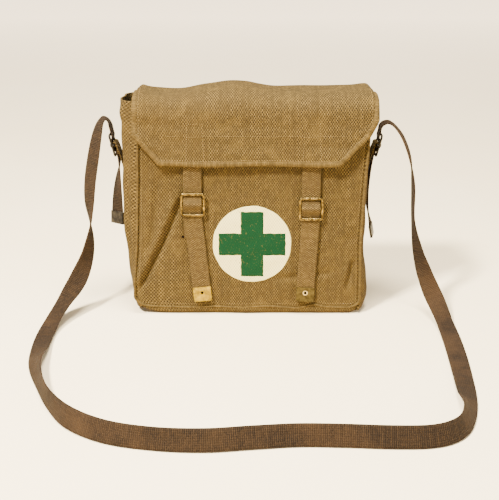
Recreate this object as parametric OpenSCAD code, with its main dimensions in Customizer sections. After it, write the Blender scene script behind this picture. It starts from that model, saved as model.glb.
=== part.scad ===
// First aid satchel: canvas bag, folding lid with two buckled straps, side buckles, long web sling, contents

/* [Bag] */
// Width of the front panel, mm
body_w = 305; // [285:1:325]
// Height of the walls, mm
body_h = 303; // [285:1:320]
// Depth at the base, mm
depth_base = 110; // [100:1:120]
// Depth at the top, mm
depth_top = 88; // [80:1:96]
// Thickness of a canvas wall with its lining, mm
wall = 2.4; // [2:0.1:3]
// How far the left side gusset bulges out, mm
gusset_bulge_left = 28; // [14:0.5:30]
// How far the right side gusset bulges out, mm
gusset_bulge_right = 10; // [8:0.5:17]

/* [Lid] */
// Width of the lid, mm
lid_w = 333; // [326:1:344]
// Height of the lid's lower edge above the base, mm
flap_edge = 216; // [208:1:222]
// Width of the cut at each lower corner, mm
corner_w = 42; // [30:1:50]
// Height of the cut at each lower corner, mm
corner_h = 40; // [30:1:50]
// Thickness of the lid's cloth, mm
lid_t = 2.2; // [1.8:0.1:2.6]

/* [Straps] */
// Distance of each closure strap from the middle, mm
strap_x = 82; // [74:1:90]
// Width of the webbing, mm
web_w = 25.4; // [24:0.1:26]
// Thickness of the webbing, mm
web_t = 2; // [1.6:0.1:2.2]
// Lean of the left tail towards the middle, degrees
tail_lean_left = 6; // [0:0.5:8]
// Lean of the right tail towards the middle, degrees
tail_lean_right = 3.5; // [0:0.5:8]
// Height of a strap tip's lower edge, mm
tip_low = 20; // [14:1:30]

/* [Buckles] */
// Width of a buckle, mm
buckle_w = 34; // [33:0.5:36]
// Height of a buckle, mm
buckle_h = 32.4; // [31:0.2:35]
// Thickness of a buckle's bars, mm
bar_d = 3.2; // [3:0.1:3.4]
// Height of the left closure buckle, mm
buckle_z_left = 161; // [148:1:164]
// Height of the right closure buckle, mm
buckle_z_right = 155; // [148:1:164]
// Height of the side buckles, mm
side_z = 236; // [228:1:244]
// Place of the side buckles along the depth, mm
side_y = 6; // [2:1:8]
// Lean of the left side buckle away from the bag, degrees
side_tilt_left = 14; // [4:1:18]
// Lean of the right side buckle away from the bag, degrees
side_tilt_right = 14; // [4:1:18]

/* [Contents] */
// Diameter of a gauze roll, mm
roll_d = 42; // [36:1:44]
// Height of a gauze roll, mm
roll_h = 78; // [60:1:90]
// Width of the plaster tin, mm
tin_w = 92; // [80:1:96]
// Height of the plaster tin's base, mm
tin_h = 58; // [50:1:70]

/* [Part] */

/* [Hidden] */
back_y = 50;
front_y = back_y - depth_base;
lean = atan((depth_base - depth_top) / body_h);
wf = wall / cos(lean);
lid_z = body_h + 0.4;
lid_front = -42;
lid_back = 49;
flap_u = 5.9;
bar_r = bar_d / 2;
bar_u = 5;
frame_u = 7.6;
half_b = buckle_h / 2 - bar_r;
half_web = web_w / 2;
root_z = 202;

// The sling's middle line and the direction of its width, from the left side buckle to the right one
SLING = [
  [[-197.6, 6, 251.6], [0, 1, 0]],
  [[-199.3, 6, 259.5], [0, 1, 0]],
  [[-202.5, 5, 266.5], [-0.1, 1, 0]],
  [[-207.5, 2.5, 269.5], [-0.2, 1, 0]],
  [[-212.5, -1, 264.5], [-0.4, 0.9, 0]],
  [[-217, -5, 249], [-0.6, 0.8, 0]],
  [[-222.5, -9, 222], [-0.7, 0.7, 0]],
  [[-229, -13, 184], [-0.7, 0.7, 0]],
  [[-231, -18, 153], [-0.6, 0.8, 0]],
  [[-230, -23, 126], [-0.2, 1, 0]],
  [[-231, -30, 101], [0.3, 0.9, 0]],
  [[-236, -39, 76], [0.6, 0.7, 0.2]],
  [[-247, -54, 50], [0.8, 0.4, 0.3]],
  [[-262, -74, 28], [0.9, 0.3, 0.4]],
  [[-274, -104, 12], [1, 0.1, 0.3]],
  [[-279, -140, 4], [1, -0.1, 0.1]],
  [[-277, -188, 5], [1, -0.2, 0.3]],
  [[-271, -240, 10.2], [0.7, -0.2, 0.7]],
  [[-256, -292, 12.8], [0.3, -0.1, 0.9]],
  [[-236, -340, 13.2], [0.1, 0.1, 1]],
  [[-205, -384, 13.2], [0.2, 0.3, 0.9]],
  [[-160, -415, 12.8], [0.1, 0.4, 0.9]],
  [[-105, -430, 12.6], [0, 0.4, 0.9]],
  [[-50, -433, 12.6], [0, 0.5, 0.9]],
  [[0, -427, 12.6], [0, 0.5, 0.9]],
  [[50, -422, 12.6], [0, 0.4, 0.9]],
  [[100, -423, 12.6], [0, 0.4, 0.9]],
  [[150, -426, 12.6], [0, 0.4, 0.9]],
  [[190, -425, 12.6], [0, 0.4, 0.9]],
  [[216, -416, 12.8], [-0.1, 0.4, 0.9]],
  [[235, -397, 12.8], [-0.3, 0.3, 0.9]],
  [[247, -364, 11.6], [-0.6, 0.2, 0.8]],
  [[254, -318, 6], [-0.9, 0, 0.3]],
  [[260, -265, 2.8], [-1, 0, 0.1]],
  [[265, -205, 2.2], [-1, 0, 0]],
  [[268, -148, 2.4], [-1, 0, 0]],
  [[267, -104, 7], [-1, 0, 0.1]],
  [[262, -76, 20], [-0.9, 0.3, 0.1]],
  [[253, -57, 39], [-0.8, 0.5, 0.2]],
  [[243, -42, 65], [-0.7, 0.7, 0.2]],
  [[235, -32, 94], [-0.4, 0.9, 0]],
  [[229, -23, 132], [0, 1, 0]],
  [[228, -15, 178], [0, 1, 0]],
  [[223, -10, 214], [0.2, 1, 0]],
  [[213, -5, 242], [0.2, 1, 0]],
  [[202, -0.5, 258], [0.1, 1, 0]],
  [[193, 3, 264], [0, 1, 0]],
  [[185.5, 5.2, 263], [0, 1, 0]],
  [[181, 6, 258.5], [0, 1, 0]],
  [[179.6, 6, 251.7], [0, 1, 0]]
];

// The free tails below the side buckles
TAIL_LEFT = [
  [[-189.7, 6, 219.9], [0, 1, 0]],
  [[-188.6, 5.9, 213], [0, 1, 0]],
  [[-189, 5, 201], [-0.1, 1, 0]],
  [[-191.5, 3, 180], [-0.4, 0.9, 0]],
  [[-193, 0, 158], [-0.6, 0.8, 0]],
  [[-193.5, -3, 136], [-0.7, 0.7, 0]]
];
TAIL_RIGHT = [
  [[171.7, 6, 219.9], [0, 1, 0]],
  [[170.2, 6, 213], [0, 1, 0]],
  [[168, 6, 197], [0, 1, 0]],
  [[166, 6, 170], [0, 1, 0]],
  [[166.6, 6, 142], [0, 1, 0]],
  [[172, 5, 115], [0.2, 1, 0]]
];

function bulge(side) = side < 0 ? gusset_bulge_left : gusset_bulge_right;
function bar_height(side) = side < 0 ? buckle_z_left : buckle_z_right;
function front_at(z) = front_y + z * tan(lean);
function unit(v) = v / norm(v);
function between(a, b, c, d, t) =
  0.5 * (2 * b + (c - a) * t + (2 * a - 5 * b + 4 * c - d) * t * t + (3 * b - a - 3 * c + d) * t * t * t);
function pick(list, i, k) = list[max(0, min(len(list) - 1, i))][k];
function smooth(list, k, steps) = concat(
  [for (i = [0 : len(list) - 2]) for (s = [0 : steps - 1])
    between(pick(list, i - 1, k), pick(list, i, k), pick(list, i + 1, k), pick(list, i + 2, k), s / steps)],
  [pick(list, len(list) - 1, k)]);

// A profile in the Y-Z plane, drawn out along X
module across(points, x0, x1) {
  translate([x0, 0, 0]) rotate([90, 0, 90]) linear_extrude(x1 - x0) polygon(points);
}

// The leaning plane of the front panel: its origin is the panel's foot
module on_front() {
  translate([0, front_y, 0]) rotate([-lean, 0, 0]) children();
}

// A side's plane: outwards becomes -Y, as on the front
module on_side(side) {
  translate([side * (body_w / 2 + bulge(side)), side_y, 0]) rotate([0, 0, side * 90]) children();
}

// The same plane leaning outwards above the sewn end of a side chape
module at_side(side) {
  tilt = side < 0 ? side_tilt_left : side_tilt_right;
  on_side(side) translate([0, 0, root_z]) rotate([tilt, 0, 0]) translate([0, 0, -root_z]) children();
}

// A flat ribbon of webbing along a route
module ribbon(list, width, thick, steps) {
  p = smooth(list, 0, steps);
  w = smooth(list, 1, steps);
  n = len(p);
  points = [for (i = [0 : n - 1])
    let (t = unit(p[min(n - 1, i + 1)] - p[max(0, i - 1)]))
    let (a = unit(w[i] - (w[i] * t) * t))
    let (b = cross(t, a))
    for (q = [[1, 1], [-1, 1], [-1, -1], [1, -1]]) p[i] + a * (q[0] * width / 2) + b * (q[1] * thick / 2)];
  sides = [for (i = [0 : n - 2]) for (k = [0 : 3])
    let (a = 4 * i + k)
    let (b = 4 * i + (k + 1) % 4)
    for (f = [[b, a, b + 4], [b + 4, a, a + 4]]) f];
  last = 4 * (n - 1);
  ends = [[0, 1, 2], [0, 2, 3], [last, last + 2, last + 1], [last, last + 3, last + 2]];
  polyhedron(points, concat(sides, ends), convexity = 10);
}

function turned(v) = [-v[1], v[0]];
function aside(p, i) =
  let (a = i > 0 ? unit(p[i] - p[i - 1]) : unit(p[1] - p[0]))
  let (b = i < len(p) - 1 ? unit(p[i + 1] - p[i]) : a)
  turned(unit(a + b)) / cos(acos(min(1, a * b)) / 2);

// A line of given thickness, as one flat outline
module thick_line(p, thick) {
  n = len(p);
  left = [for (i = [0 : n - 1]) p[i] + aside(p, i) * thick / 2];
  right = [for (i = [0 : n - 1]) p[n - 1 - i] - aside(p, n - 1 - i) * thick / 2];
  polygon(concat(left, right));
}

// Half of a strap's way through a buckle, as distance from the panel and height over the bar
WAY = [[4.6, 13], [4.6, 11.5], [7.6, 4.5], [9.1, 3.2], [9.98, 1.5], [10.2, 0],
  [9.98, -1.5], [9.1, -3.2], [7.6, -4.5], [4.6, -11.5]];

// Web that passes behind, over and behind a buckle's three bars
module threaded(z, upper, tail) {
  way = concat(upper, [for (p = WAY) [p[0], p[1] + z]], [[4.6, z - tail]]);
  translate([-half_web, 0, 0]) rotate([90, 0, 90]) linear_extrude(web_w)
    thick_line([for (p = way) [-p[0], p[1]]], web_t);
}

// Three-bar frame without a tongue
module buckle(z) {
  $fn = 32;
  for (k = [-1, 1]) {
    translate([0, -frame_u, z + k * half_b]) rotate([0, 90, 0]) {
      cylinder(r = bar_r, h = buckle_w - bar_d, center = true);
      for (s = [-1, 1]) translate([0, 0, s * (buckle_w - bar_d) / 2]) sphere(r = bar_r);
    }
    translate([k * (buckle_w - bar_d) / 2, -frame_u, z]) cylinder(r = bar_r, h = 2 * half_b, center = true);
    translate([k * (buckle_w - bar_d) / 2, -bar_u, z]) rotate([90, 0, 0])
      cylinder(r = bar_r, h = frame_u - bar_u);
    translate([k * (buckle_w - bar_d) / 2, -bar_u, z]) sphere(r = bar_r);
  }
  translate([0, -bar_u, z]) rotate([0, 90, 0])
    cylinder(r = bar_r, h = buckle_w - bar_d, center = true);
}

// Folded web that holds a buckle's middle bar and is sewn to the cloth
module chape(z, low) {
  difference() {
    union() {
      translate([-half_web, -2, low]) cube([web_w, 2, z - low]);
      translate([0, -bar_u, z]) rotate([0, 90, 0]) cylinder(r = 3.9, h = web_w, center = true, $fn = 64);
    }
    translate([0, -bar_u, z]) rotate([0, 90, 0]) cylinder(r = 1.9, h = web_w + 2, center = true, $fn = 64);
  }
}

module front_panel() {
  color([0.5, 0.36, 0.2])
    across([[front_at(wall), wall], [front_at(wall) + wf, wall],
      [front_at(body_h) + wf, body_h], [front_at(body_h), body_h]], -body_w / 2, body_w / 2);
}

module back_panel() {
  color([0.48, 0.34, 0.19])
    translate([-body_w / 2, back_y - wall, wall]) cube([body_w, wall, body_h - wall]);
}

module bottom_gusset() {
  color([0.42, 0.3, 0.17]) translate([-body_w / 2, front_y, 0]) cube([body_w, depth_base, wall]);
}

module side_gusset(side) {
  w = body_w / 2;
  b = bulge(side);
  line = [[w, front_y - 1], [w, -32], [w + 0.7 * b, -19], [w + b, -9], [w + b, 21], [w + 0.7 * b, 31],
    [w, 44], [w, back_y + 1]];
  n = len(line);
  inner = [for (i = [0 : n - 1]) line[n - 1 - i] - [wall, 0]];
  color([0.46, 0.33, 0.18]) intersection() {
    linear_extrude(body_h) polygon([for (p = concat(line, inner)) [side * p[0], p[1]]]);
    across([[front_at(wall) + wf, wall], [back_y - wall, wall],
      [back_y - wall, body_h], [front_at(body_h) + wf, body_h]], -300, 300);
  }
}

module divider() {
  color([0.5, 0.37, 0.22]) translate([-149.8, 4, wall]) cube([299.6, 2, 250]);
}

module lid_top() {
  color([0.55, 0.4, 0.22])
    translate([-lid_w / 2, lid_front, lid_z]) cube([lid_w, lid_back - lid_front, lid_t]);
}

module lid_flap() {
  w = lid_w / 2;
  top = body_h - 2.6;
  low = flap_edge / cos(lean);
  color([0.55, 0.4, 0.22]) on_front() translate([0, -flap_u, 0]) rotate([90, 0, 0]) linear_extrude(lid_t)
    polygon([[-w, top], [-w, low + corner_h], [-w + corner_w, low], [w - corner_w, low],
      [w, low + corner_h], [w, top]]);
}

// Closure strap: sewn under the lid, through the buckle, with a leaning free tail
module closure_strap(side, tilt) {
  z = bar_height(side);
  low = tip_low + 21;
  top = z - 16;
  color([0.6, 0.44, 0.25]) on_front() translate([side * strap_x, 0, 0]) {
    threaded(z, [[4.9, 290], [4.9, z + 36], [4.6, z + 24]], 18);
    translate([0, -4.6, top]) rotate([0, side * tilt, 0]) translate([-half_web, -web_t / 2, low - top])
      cube([web_w, web_t, top - low]);
  }
}

module at_tip(side, tilt) {
  top = bar_height(side) - 16;
  on_front() translate([side * strap_x, -4.6, top]) rotate([0, side * tilt, 0])
    translate([0, 0, tip_low - top]) children();
}

module strap_tip(side, tilt) {
  color([0.72, 0.55, 0.2]) at_tip(side, tilt) difference() {
    union() {
      translate([-12.6, -1.7, 3]) cube([25.2, 3.4, 18]);
      translate([-9.6, -1.7, 0]) cube([19.2, 3.4, 3]);
      for (s = [-1, 1]) translate([s * 9.6, 1.7, 3]) rotate([90, 0, 0]) cylinder(r = 3, h = 3.4, $fn = 48);
    }
    translate([0, 5, 13]) rotate([90, 0, 0]) cylinder(r = 3, h = 10, $fn = 48);
  }
}

module tip_eyelet(side, tilt) {
  color([0.85, 0.78, 0.55]) at_tip(side, tilt) difference() {
    union() {
      translate([0, 1.9, 13]) rotate([90, 0, 0]) cylinder(r = 2.98, h = 4, $fn = 48);
      translate([0, -1.75, 13]) rotate([90, 0, 0]) cylinder(r = 3.6, h = 0.6, $fn = 48);
    }
    translate([0, 5, 13]) rotate([90, 0, 0]) cylinder(r = 1.5, h = 10, $fn = 48);
  }
}

module sling_loop(side) {
  color([0.35, 0.26, 0.16]) at_side(side) threaded(side_z, [[4.6, side_z + 18]], 14);
}

function tipped(q, t) = [q[0] * cos(t) + (q[1] - root_z) * sin(t),
  root_z - q[0] * sin(t) + (q[1] - root_z) * cos(t)];

// Side chape: sewn flat below, leaning outwards to the loop that holds the buckle
module side_chape(side) {
  tilt = side < 0 ? side_tilt_left : side_tilt_right;
  eye = tipped([bar_u, side_z], tilt);
  web = [[1, 150], [1, root_z - 0.1], tipped([1, side_z], tilt)];
  color([0.5, 0.37, 0.21]) on_side(side) translate([-half_web, 0, 0]) rotate([90, 0, 90])
    linear_extrude(web_w) difference() {
      union() {
        thick_line([for (q = web) [-q[0], q[1]]], 2);
        translate([-eye[0], eye[1]]) circle(r = 3.9, $fn = 64);
      }
      translate([-eye[0], eye[1]]) circle(r = 1.9, $fn = 64);
    }
}

module sling_tip(side) {
  list = side < 0 ? TAIL_LEFT : TAIL_RIGHT;
  end = list[len(list) - 1][0];
  way = unit(end - list[len(list) - 2][0]);
  wide = list[len(list) - 1][1];
  color([0.3, 0.25, 0.15])
    ribbon([[end + 0.4 * way, wide], [end + 9 * way, wide], [end + 18 * way, wide]], 26.6, 3.2, 1);
}

module gauze_roll(x) {
  color([0.9, 0.88, 0.8]) translate([x, -23.5, wall + 0.3]) difference() {
    cylinder(d = roll_d, h = roll_h, $fn = 72);
    translate([0, 0, roll_h - 12]) cylinder(d = 8, h = 20, $fn = 32);
  }
}

module dressing_packet(x, tall) {
  color([0.8, 0.75, 0.62]) translate([x, 10, wall + 0.3]) cube([84, 30, tall]);
}

module tin_base() {
  color([0.3, 0.36, 0.26]) translate([22, -42, wall + 0.3]) difference() {
    cube([tin_w, 38, tin_h]);
    translate([1, 1, 1]) cube([tin_w - 2, 36, tin_h]);
  }
}

module tin_lid() {
  color([0.3, 0.36, 0.26]) translate([21, -43, wall + 0.5 + tin_h - 9]) difference() {
    cube([tin_w + 2, 40, 10.8]);
    translate([0.7, 0.7, -1]) cube([tin_w + 0.6, 38.6, 10.8]);
  }
}

module antiseptic_bottle() {
  color([0.45, 0.25, 0.08, 0.7]) translate([126, 27, wall + 0.3]) rotate_extrude($fn = 72)
    polygon([[0, 0], [15, 0], [17, 2], [17, 78], [15, 86], [8.5, 92], [8.5, 104], [6.5, 104], [6.5, 91],
      [13, 84], [15, 77], [15, 3], [0, 3]]);
}

module bottle_cap() {
  color([0.12, 0.12, 0.12]) translate([126, 27, wall + 0.3 + 93.4]) rotate_extrude($fn = 72)
    polygon([[8.6, 0], [10.5, 0], [10.5, 13], [9.5, 14], [0, 14], [0, 11], [8.6, 11]]);
}

// Scissors stand in the back compartment, points down
module blade(turn) {
  rotate([90, 0, 0]) linear_extrude(1.8) difference() {
    union() {
      polygon([[-1.5, -78], [6, -30], [6.5, 0], [4, 12], [-5, 12], [-6.5, 0], [-5.5, -30]]);
      polygon([[-5, 8], [4, 8], [-6, 42], [-13, 42]]);
      translate([-16, 56]) circle(d = 32, $fn = 64);
    }
    translate([-16, 56]) circle(d = 23, $fn = 64);
    circle(r = 2.05, $fn = 48);
  }
}

module scissors_blade_back() {
  color([0.7, 0.7, 0.72]) translate([66, 44.4, 84]) blade(0);
}

module scissors_blade_front() {
  color([0.7, 0.7, 0.72]) translate([66, 42.4, 84]) mirror([1, 0, 0]) blade(0);
}

module scissors_pivot() {
  color([0.6, 0.6, 0.62]) translate([66, 44.4, 84]) rotate([90, 0, 0]) {
    cylinder(r = 2, h = 4, $fn = 48);
    translate([0, 0, 4]) cylinder(r = 4, h = 1.4, $fn = 48);
  }
}

front_panel();
back_panel();
side_gusset(-1);  // side_gusset_left
side_gusset(1);  // side_gusset_right
bottom_gusset();
divider();
lid_top();
lid_flap();
closure_strap(-1, tail_lean_left);  // closure_strap_left
closure_strap(1, tail_lean_right);  // closure_strap_right
strap_tip(-1, tail_lean_left);  // strap_tip_left
strap_tip(1, tail_lean_right);  // strap_tip_right
tip_eyelet(-1, tail_lean_left);  // tip_eyelet_left
tip_eyelet(1, tail_lean_right);  // tip_eyelet_right
color([0.55, 0.4, 0.23]) on_front() translate([-strap_x, 0, 0]) chape(buckle_z_left, 112);  // buckle_chape_left
color([0.55, 0.4, 0.23]) on_front() translate([strap_x, 0, 0]) chape(buckle_z_right, 108);  // buckle_chape_right
color([0.8, 0.65, 0.35]) on_front() translate([-strap_x, 0, 0]) buckle(buckle_z_left);  // closure_buckle_left
color([0.8, 0.65, 0.35]) on_front() translate([strap_x, 0, 0]) buckle(buckle_z_right);  // closure_buckle_right
side_chape(-1);  // side_chape_left
side_chape(1);  // side_chape_right
color([0.3, 0.26, 0.2]) at_side(-1) buckle(side_z);  // side_buckle_left
color([0.3, 0.26, 0.2]) at_side(1) buckle(side_z);  // side_buckle_right
color([0.35, 0.26, 0.16]) ribbon(SLING, web_w, web_t, 2);  // sling
sling_loop(-1);  // sling_loop_left
sling_loop(1);  // sling_loop_right
color([0.35, 0.26, 0.16]) ribbon(TAIL_LEFT, web_w, web_t, 3);  // sling_tail_left
color([0.35, 0.26, 0.16]) ribbon(TAIL_RIGHT, web_w, web_t, 3);  // sling_tail_right
sling_tip(-1);  // sling_tip_left
sling_tip(1);  // sling_tip_right
gauze_roll(-124);  // gauze_roll_1
gauze_roll(-78);  // gauze_roll_2
gauze_roll(-32);  // gauze_roll_3
dressing_packet(-146, 118);  // dressing_packet_1
dressing_packet(-58, 106);  // dressing_packet_2
color([0.8, 0.75, 0.62]) translate([-100, 12, wall + 118.6]) cube([84, 26, 40]);  // dressing_packet_3
tin_base();
tin_lid();
antiseptic_bottle();
bottle_cap();
scissors_blade_back();
scissors_blade_front();
scissors_pivot();
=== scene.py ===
import math

import bpy
import numpy as np
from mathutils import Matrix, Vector


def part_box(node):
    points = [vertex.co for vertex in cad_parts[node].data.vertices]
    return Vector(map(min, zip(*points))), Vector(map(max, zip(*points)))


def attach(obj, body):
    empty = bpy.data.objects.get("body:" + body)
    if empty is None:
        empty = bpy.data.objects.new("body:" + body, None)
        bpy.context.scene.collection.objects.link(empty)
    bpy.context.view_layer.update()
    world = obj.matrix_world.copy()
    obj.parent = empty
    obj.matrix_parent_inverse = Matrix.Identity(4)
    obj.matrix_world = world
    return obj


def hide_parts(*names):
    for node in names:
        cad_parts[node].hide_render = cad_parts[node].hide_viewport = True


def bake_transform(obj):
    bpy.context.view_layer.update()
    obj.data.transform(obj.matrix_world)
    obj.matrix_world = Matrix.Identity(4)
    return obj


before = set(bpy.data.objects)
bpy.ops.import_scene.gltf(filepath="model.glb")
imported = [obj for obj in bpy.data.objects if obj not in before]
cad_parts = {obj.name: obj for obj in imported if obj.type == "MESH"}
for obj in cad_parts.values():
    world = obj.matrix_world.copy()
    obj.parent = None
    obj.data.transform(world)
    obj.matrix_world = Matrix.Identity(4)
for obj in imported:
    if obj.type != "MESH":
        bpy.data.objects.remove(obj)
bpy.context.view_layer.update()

bl_info = {
    "name": "First aid satchel",
    "version": (1, 0, 0),
    "blender": (4, 5, 0),
    "location": "View3D > Sidebar > Satchel",
    "description": "Builds a canvas first aid satchel with a strapped lid, buckles, a sling and contents",
    "category": "Object",
}

MM = 0.001



def corners(node):
    """The low and high corners of a node's box, in mm."""
    return [np.array(corner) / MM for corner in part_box(node)]


# The bag's main sizes, in mm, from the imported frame
CLOTH = 2.4
FRONT_BOX = corners("front_panel")
FOOT_BOX = corners("bottom_gusset")
HALF = FRONT_BOX[1][0]
TOP = FRONT_BOX[1][2]
FOOT = FOOT_BOX[0][1]
BACK = FOOT_BOX[1][1]
LEAN = math.atan((FRONT_BOX[1][1] - CLOTH - FOOT) / TOP)
COS, SIN = math.cos(LEAN), math.sin(LEAN)
SIDES = ((-1, "left"), (1, "right"))
SIDE = {-1: -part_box("side_gusset_left")[0][0] / MM, 1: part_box("side_gusset_right")[1][0] / MM}
LID_LEFT, LID_RIGHT = -161.5, 170.5
STRAP_X = 82.0
WEB = 25.4
BAR_Z = {-1: 161.0, 1: 155.0}
TAIL_LEAN = {-1: 6.0, 1: 3.5}
SIDE_Z, SIDE_Y, SEWN_Z = 236.0, 6.0, 202.0
SIDE_LEAN = {-1: 14.0, 1: 14.0}

# The sling's middle line and the direction of its width, in metres
SLING = [
    (-.1976, .006, .2516, 0, 1, 0), (-.1993, .006, .2595, 0, 1, 0), (-.2025, .005, .2665, -.1, 1, 0),
    (-.2075, .0025, .2695, -.2, 1, 0), (-.2125, -.001, .2645, -.4, .9, 0), (-.217, -.005, .249, -.6, .8, 0),
    (-.2225, -.009, .222, -.7, .7, 0), (-.229, -.013, .184, -.7, .7, 0), (-.231, -.018, .153, -.6, .8, 0),
    (-.23, -.023, .126, -.2, 1, 0), (-.231, -.03, .101, .3, .9, 0), (-.236, -.039, .076, .6, .7, .2),
    (-.247, -.054, .05, .8, .4, .3), (-.262, -.074, .028, .9, .3, .4), (-.274, -.104, .012, 1, .1, .3),
    (-.279, -.14, .004, 1, -.1, .1), (-.277, -.188, .005, 1, -.2, .3), (-.271, -.24, .0102, .7, -.2, .7),
    (-.256, -.292, .0128, .3, -.1, .9), (-.236, -.34, .0132, .1, .1, 1), (-.205, -.384, .0132, .2, .3, .9),
    (-.16, -.415, .0128, .1, .4, .9), (-.105, -.43, .0126, 0, .4, .9), (-.05, -.433, .0126, 0, .5, .9),
    (0, -.427, .0126, 0, .5, .9), (.05, -.422, .0126, 0, .4, .9), (.1, -.423, .0126, 0, .4, .9),
    (.15, -.426, .0126, 0, .4, .9), (.19, -.425, .0126, 0, .4, .9), (.216, -.416, .0128, -.1, .4, .9),
    (.235, -.397, .0128, -.3, .3, .9), (.247, -.364, .0116, -.6, .2, .8), (.254, -.318, .006, -.9, 0, .3),
    (.26, -.265, .0028, -1, 0, .1), (.265, -.205, .0022, -1, 0, 0), (.268, -.148, .0024, -1, 0, 0),
    (.267, -.104, .007, -1, 0, .1), (.262, -.076, .02, -.9, .3, .1), (.253, -.057, .039, -.8, .5, .2),
    (.243, -.042, .065, -.7, .7, .2), (.235, -.032, .094, -.4, .9, 0), (.229, -.023, .132, 0, 1, 0),
    (.228, -.015, .178, 0, 1, 0), (.223, -.01, .214, .2, 1, 0), (.213, -.005, .242, .2, 1, 0),
    (.202, -.0005, .258, .1, 1, 0), (.193, .003, .264, 0, 1, 0), (.1855, .0052, .263, 0, 1, 0),
    (.181, .006, .2585, 0, 1, 0), (.1796, .006, .2517, 0, 1, 0),
]
TAILS = {
    -1: [(-189.7, 6, 219.9, 0, 1, 0), (-188.6, 5.9, 213, 0, 1, 0), (-189, 5, 201, -.1, 1, 0),
         (-191.5, 3, 180, -.4, .9, 0), (-193, 0, 158, -.6, .8, 0), (-193.5, -3, 136, -.7, .7, 0)],
    1: [(171.7, 6, 219.9, 0, 1, 0), (170.2, 6, 213, 0, 1, 0), (168, 6, 197, 0, 1, 0),
        (166, 6, 170, 0, 1, 0), (166.6, 6, 142, 0, 1, 0), (172, 5, 115, .2, 1, 0)],
}


# ---------------------------------------------------------------- shapes

def step(x, a, b):
    """0 before a, 1 after b, and an even S-curve between."""
    t = np.clip((np.asarray(x, float) - a) / (b - a), 0, 1)
    return t * t * (3 - 2 * t)


def bump(x, width):
    """A bell of height 1 at x = 0 that has fallen to a third at one width."""
    return np.exp(-(np.asarray(x, float) / width) ** 2)


def ripple(x, y, size, seed):
    """Soft unevenness between about -1 and 1: six sine waves of nearly the given wavelength, each with
    its own fixed direction and phase, added up."""
    rng = np.random.default_rng(seed)
    total = 0
    for _ in range(6):
        turn, phase = rng.uniform(0, 2 * math.pi, 2)
        k = 2 * math.pi / (size * rng.uniform(0.7, 1.5))
        total = total + np.sin(k * (x * math.cos(turn) + y * math.sin(turn)) + phase)
    return total / 3.2


def along(points, steps):
    """Catmull-Rom curve through the points: a cubic between each two, with the slope at each point
    taken from its neighbours."""
    p = np.array(points, float)
    p = np.vstack([p[:1], p, p[-1:]])
    a, b, c, d = p[:-3, None], p[1:-2, None], p[2:-1, None], p[3:, None]
    t = (np.arange(steps) / steps)[None, :, None]
    q = 0.5 * (2 * b + (c - a) * t + (2 * a - 5 * b + 4 * c - d) * t ** 2 + (3 * b - a - 3 * c + d) * t ** 3)
    return np.vstack([q.reshape(-1, p.shape[1]), p[-1]])


def rounded(points, times):
    """Corner cutting: each pass puts new points a quarter and three quarters along every stretch."""
    p = np.array(points, float)
    for _ in range(times):
        a, b = p[:-1], p[1:]
        q = np.stack([0.75 * a + 0.25 * b, 0.25 * a + 0.75 * b], 1).reshape(-1, p.shape[1])
        p = np.vstack([p[:1], q, p[-1:]])
    return p


def evenly(p, gap):
    """The same line with points an equal distance apart, about gap."""
    s = lengths(p)
    n = max(2, int(round(s[-1] / gap)) + 1)
    t = np.linspace(0, s[-1], n)
    return np.stack([np.interp(t, s, p[:, k]) for k in range(p.shape[1])], 1)


def lengths(p):
    """Running length along a line, from its first three columns."""
    return np.concatenate([[0], np.cumsum(np.linalg.norm(np.diff(p[:, :3], axis=0), axis=1))])


def unit(v):
    return v / np.maximum(np.linalg.norm(v, axis=-1, keepdims=True), 1e-12)


def put(name, points, faces, material, flat=None, body="bag"):
    """A mesh from points in mm, with faces turned outwards by the sign of its volume, smooth shading,
    and flat (u, v in metres on the cloth) kept as its own map for the weave."""
    points = np.asarray(points, float).reshape(-1, 3) * MM
    faces = [np.asarray(f) for f in faces if len(f)]
    volume = 0
    for f in faces:
        a = points[f[:, 0]]
        for k in range(1, f.shape[1] - 1):
            volume += np.einsum("ij,ij->i", a, np.cross(points[f[:, k]], points[f[:, k + 1]])).sum()
    if volume < 0:
        faces = [f[:, ::-1] for f in faces]
    mesh = bpy.data.meshes.new(name)
    mesh.from_pydata(points.tolist(), [], [row for f in faces for row in f.tolist()])
    if flat is not None:
        loops = np.empty(len(mesh.loops), np.int32)
        mesh.loops.foreach_get("vertex_index", loops)
        uv = (np.asarray(flat, float).reshape(-1, 2) * MM)[loops].astype(np.float32)
        mesh.uv_layers.new(name="cloth").data.foreach_set("uv", uv.ravel())
    mesh.polygons.foreach_set("use_smooth", np.ones(len(mesh.polygons), bool))
    mesh.materials.append(material)
    mesh.update()
    piece = bpy.data.objects.new(name, mesh)
    bpy.context.scene.collection.objects.link(piece)
    if body:
        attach(piece, body)
    return piece


def cells(m, n, wrap=False, first=0):
    """Quads of an m by n grid of points, joined round in the second direction if wrap."""
    i = np.arange(m - 1)[:, None]
    j = np.arange(n if wrap else n - 1)[None, :]
    k = (j + 1) % n
    return first + np.stack([i * n + j, (i + 1) * n + j, (i + 1) * n + k, i * n + k], -1).reshape(-1, 4)


def shell(name, outer, inner, flat, material, body="bag"):
    """A cloth wall: two grids of points, the outside and the inside, and a rim that closes them."""
    m, n = outer.shape[:2]
    size = m * n
    grid = np.arange(size).reshape(m, n)
    edge = np.concatenate([grid[0, :-1], grid[:-1, -1], grid[-1, :0:-1], grid[:0:-1, 0]])
    after = np.roll(edge, -1)
    rim = np.stack([edge, after, after + size, edge + size], 1)
    # cells turn one way and the rim the other, so the outside is turned to match
    faces = [cells(m, n), cells(m, n, first=size)[:, ::-1], rim]
    flat = np.asarray(flat, float).reshape(-1, 2)
    return put(name, np.concatenate([outer.reshape(-1, 3), inner.reshape(-1, 3)]), faces, material,
               np.concatenate([flat, flat]), body)


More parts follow.
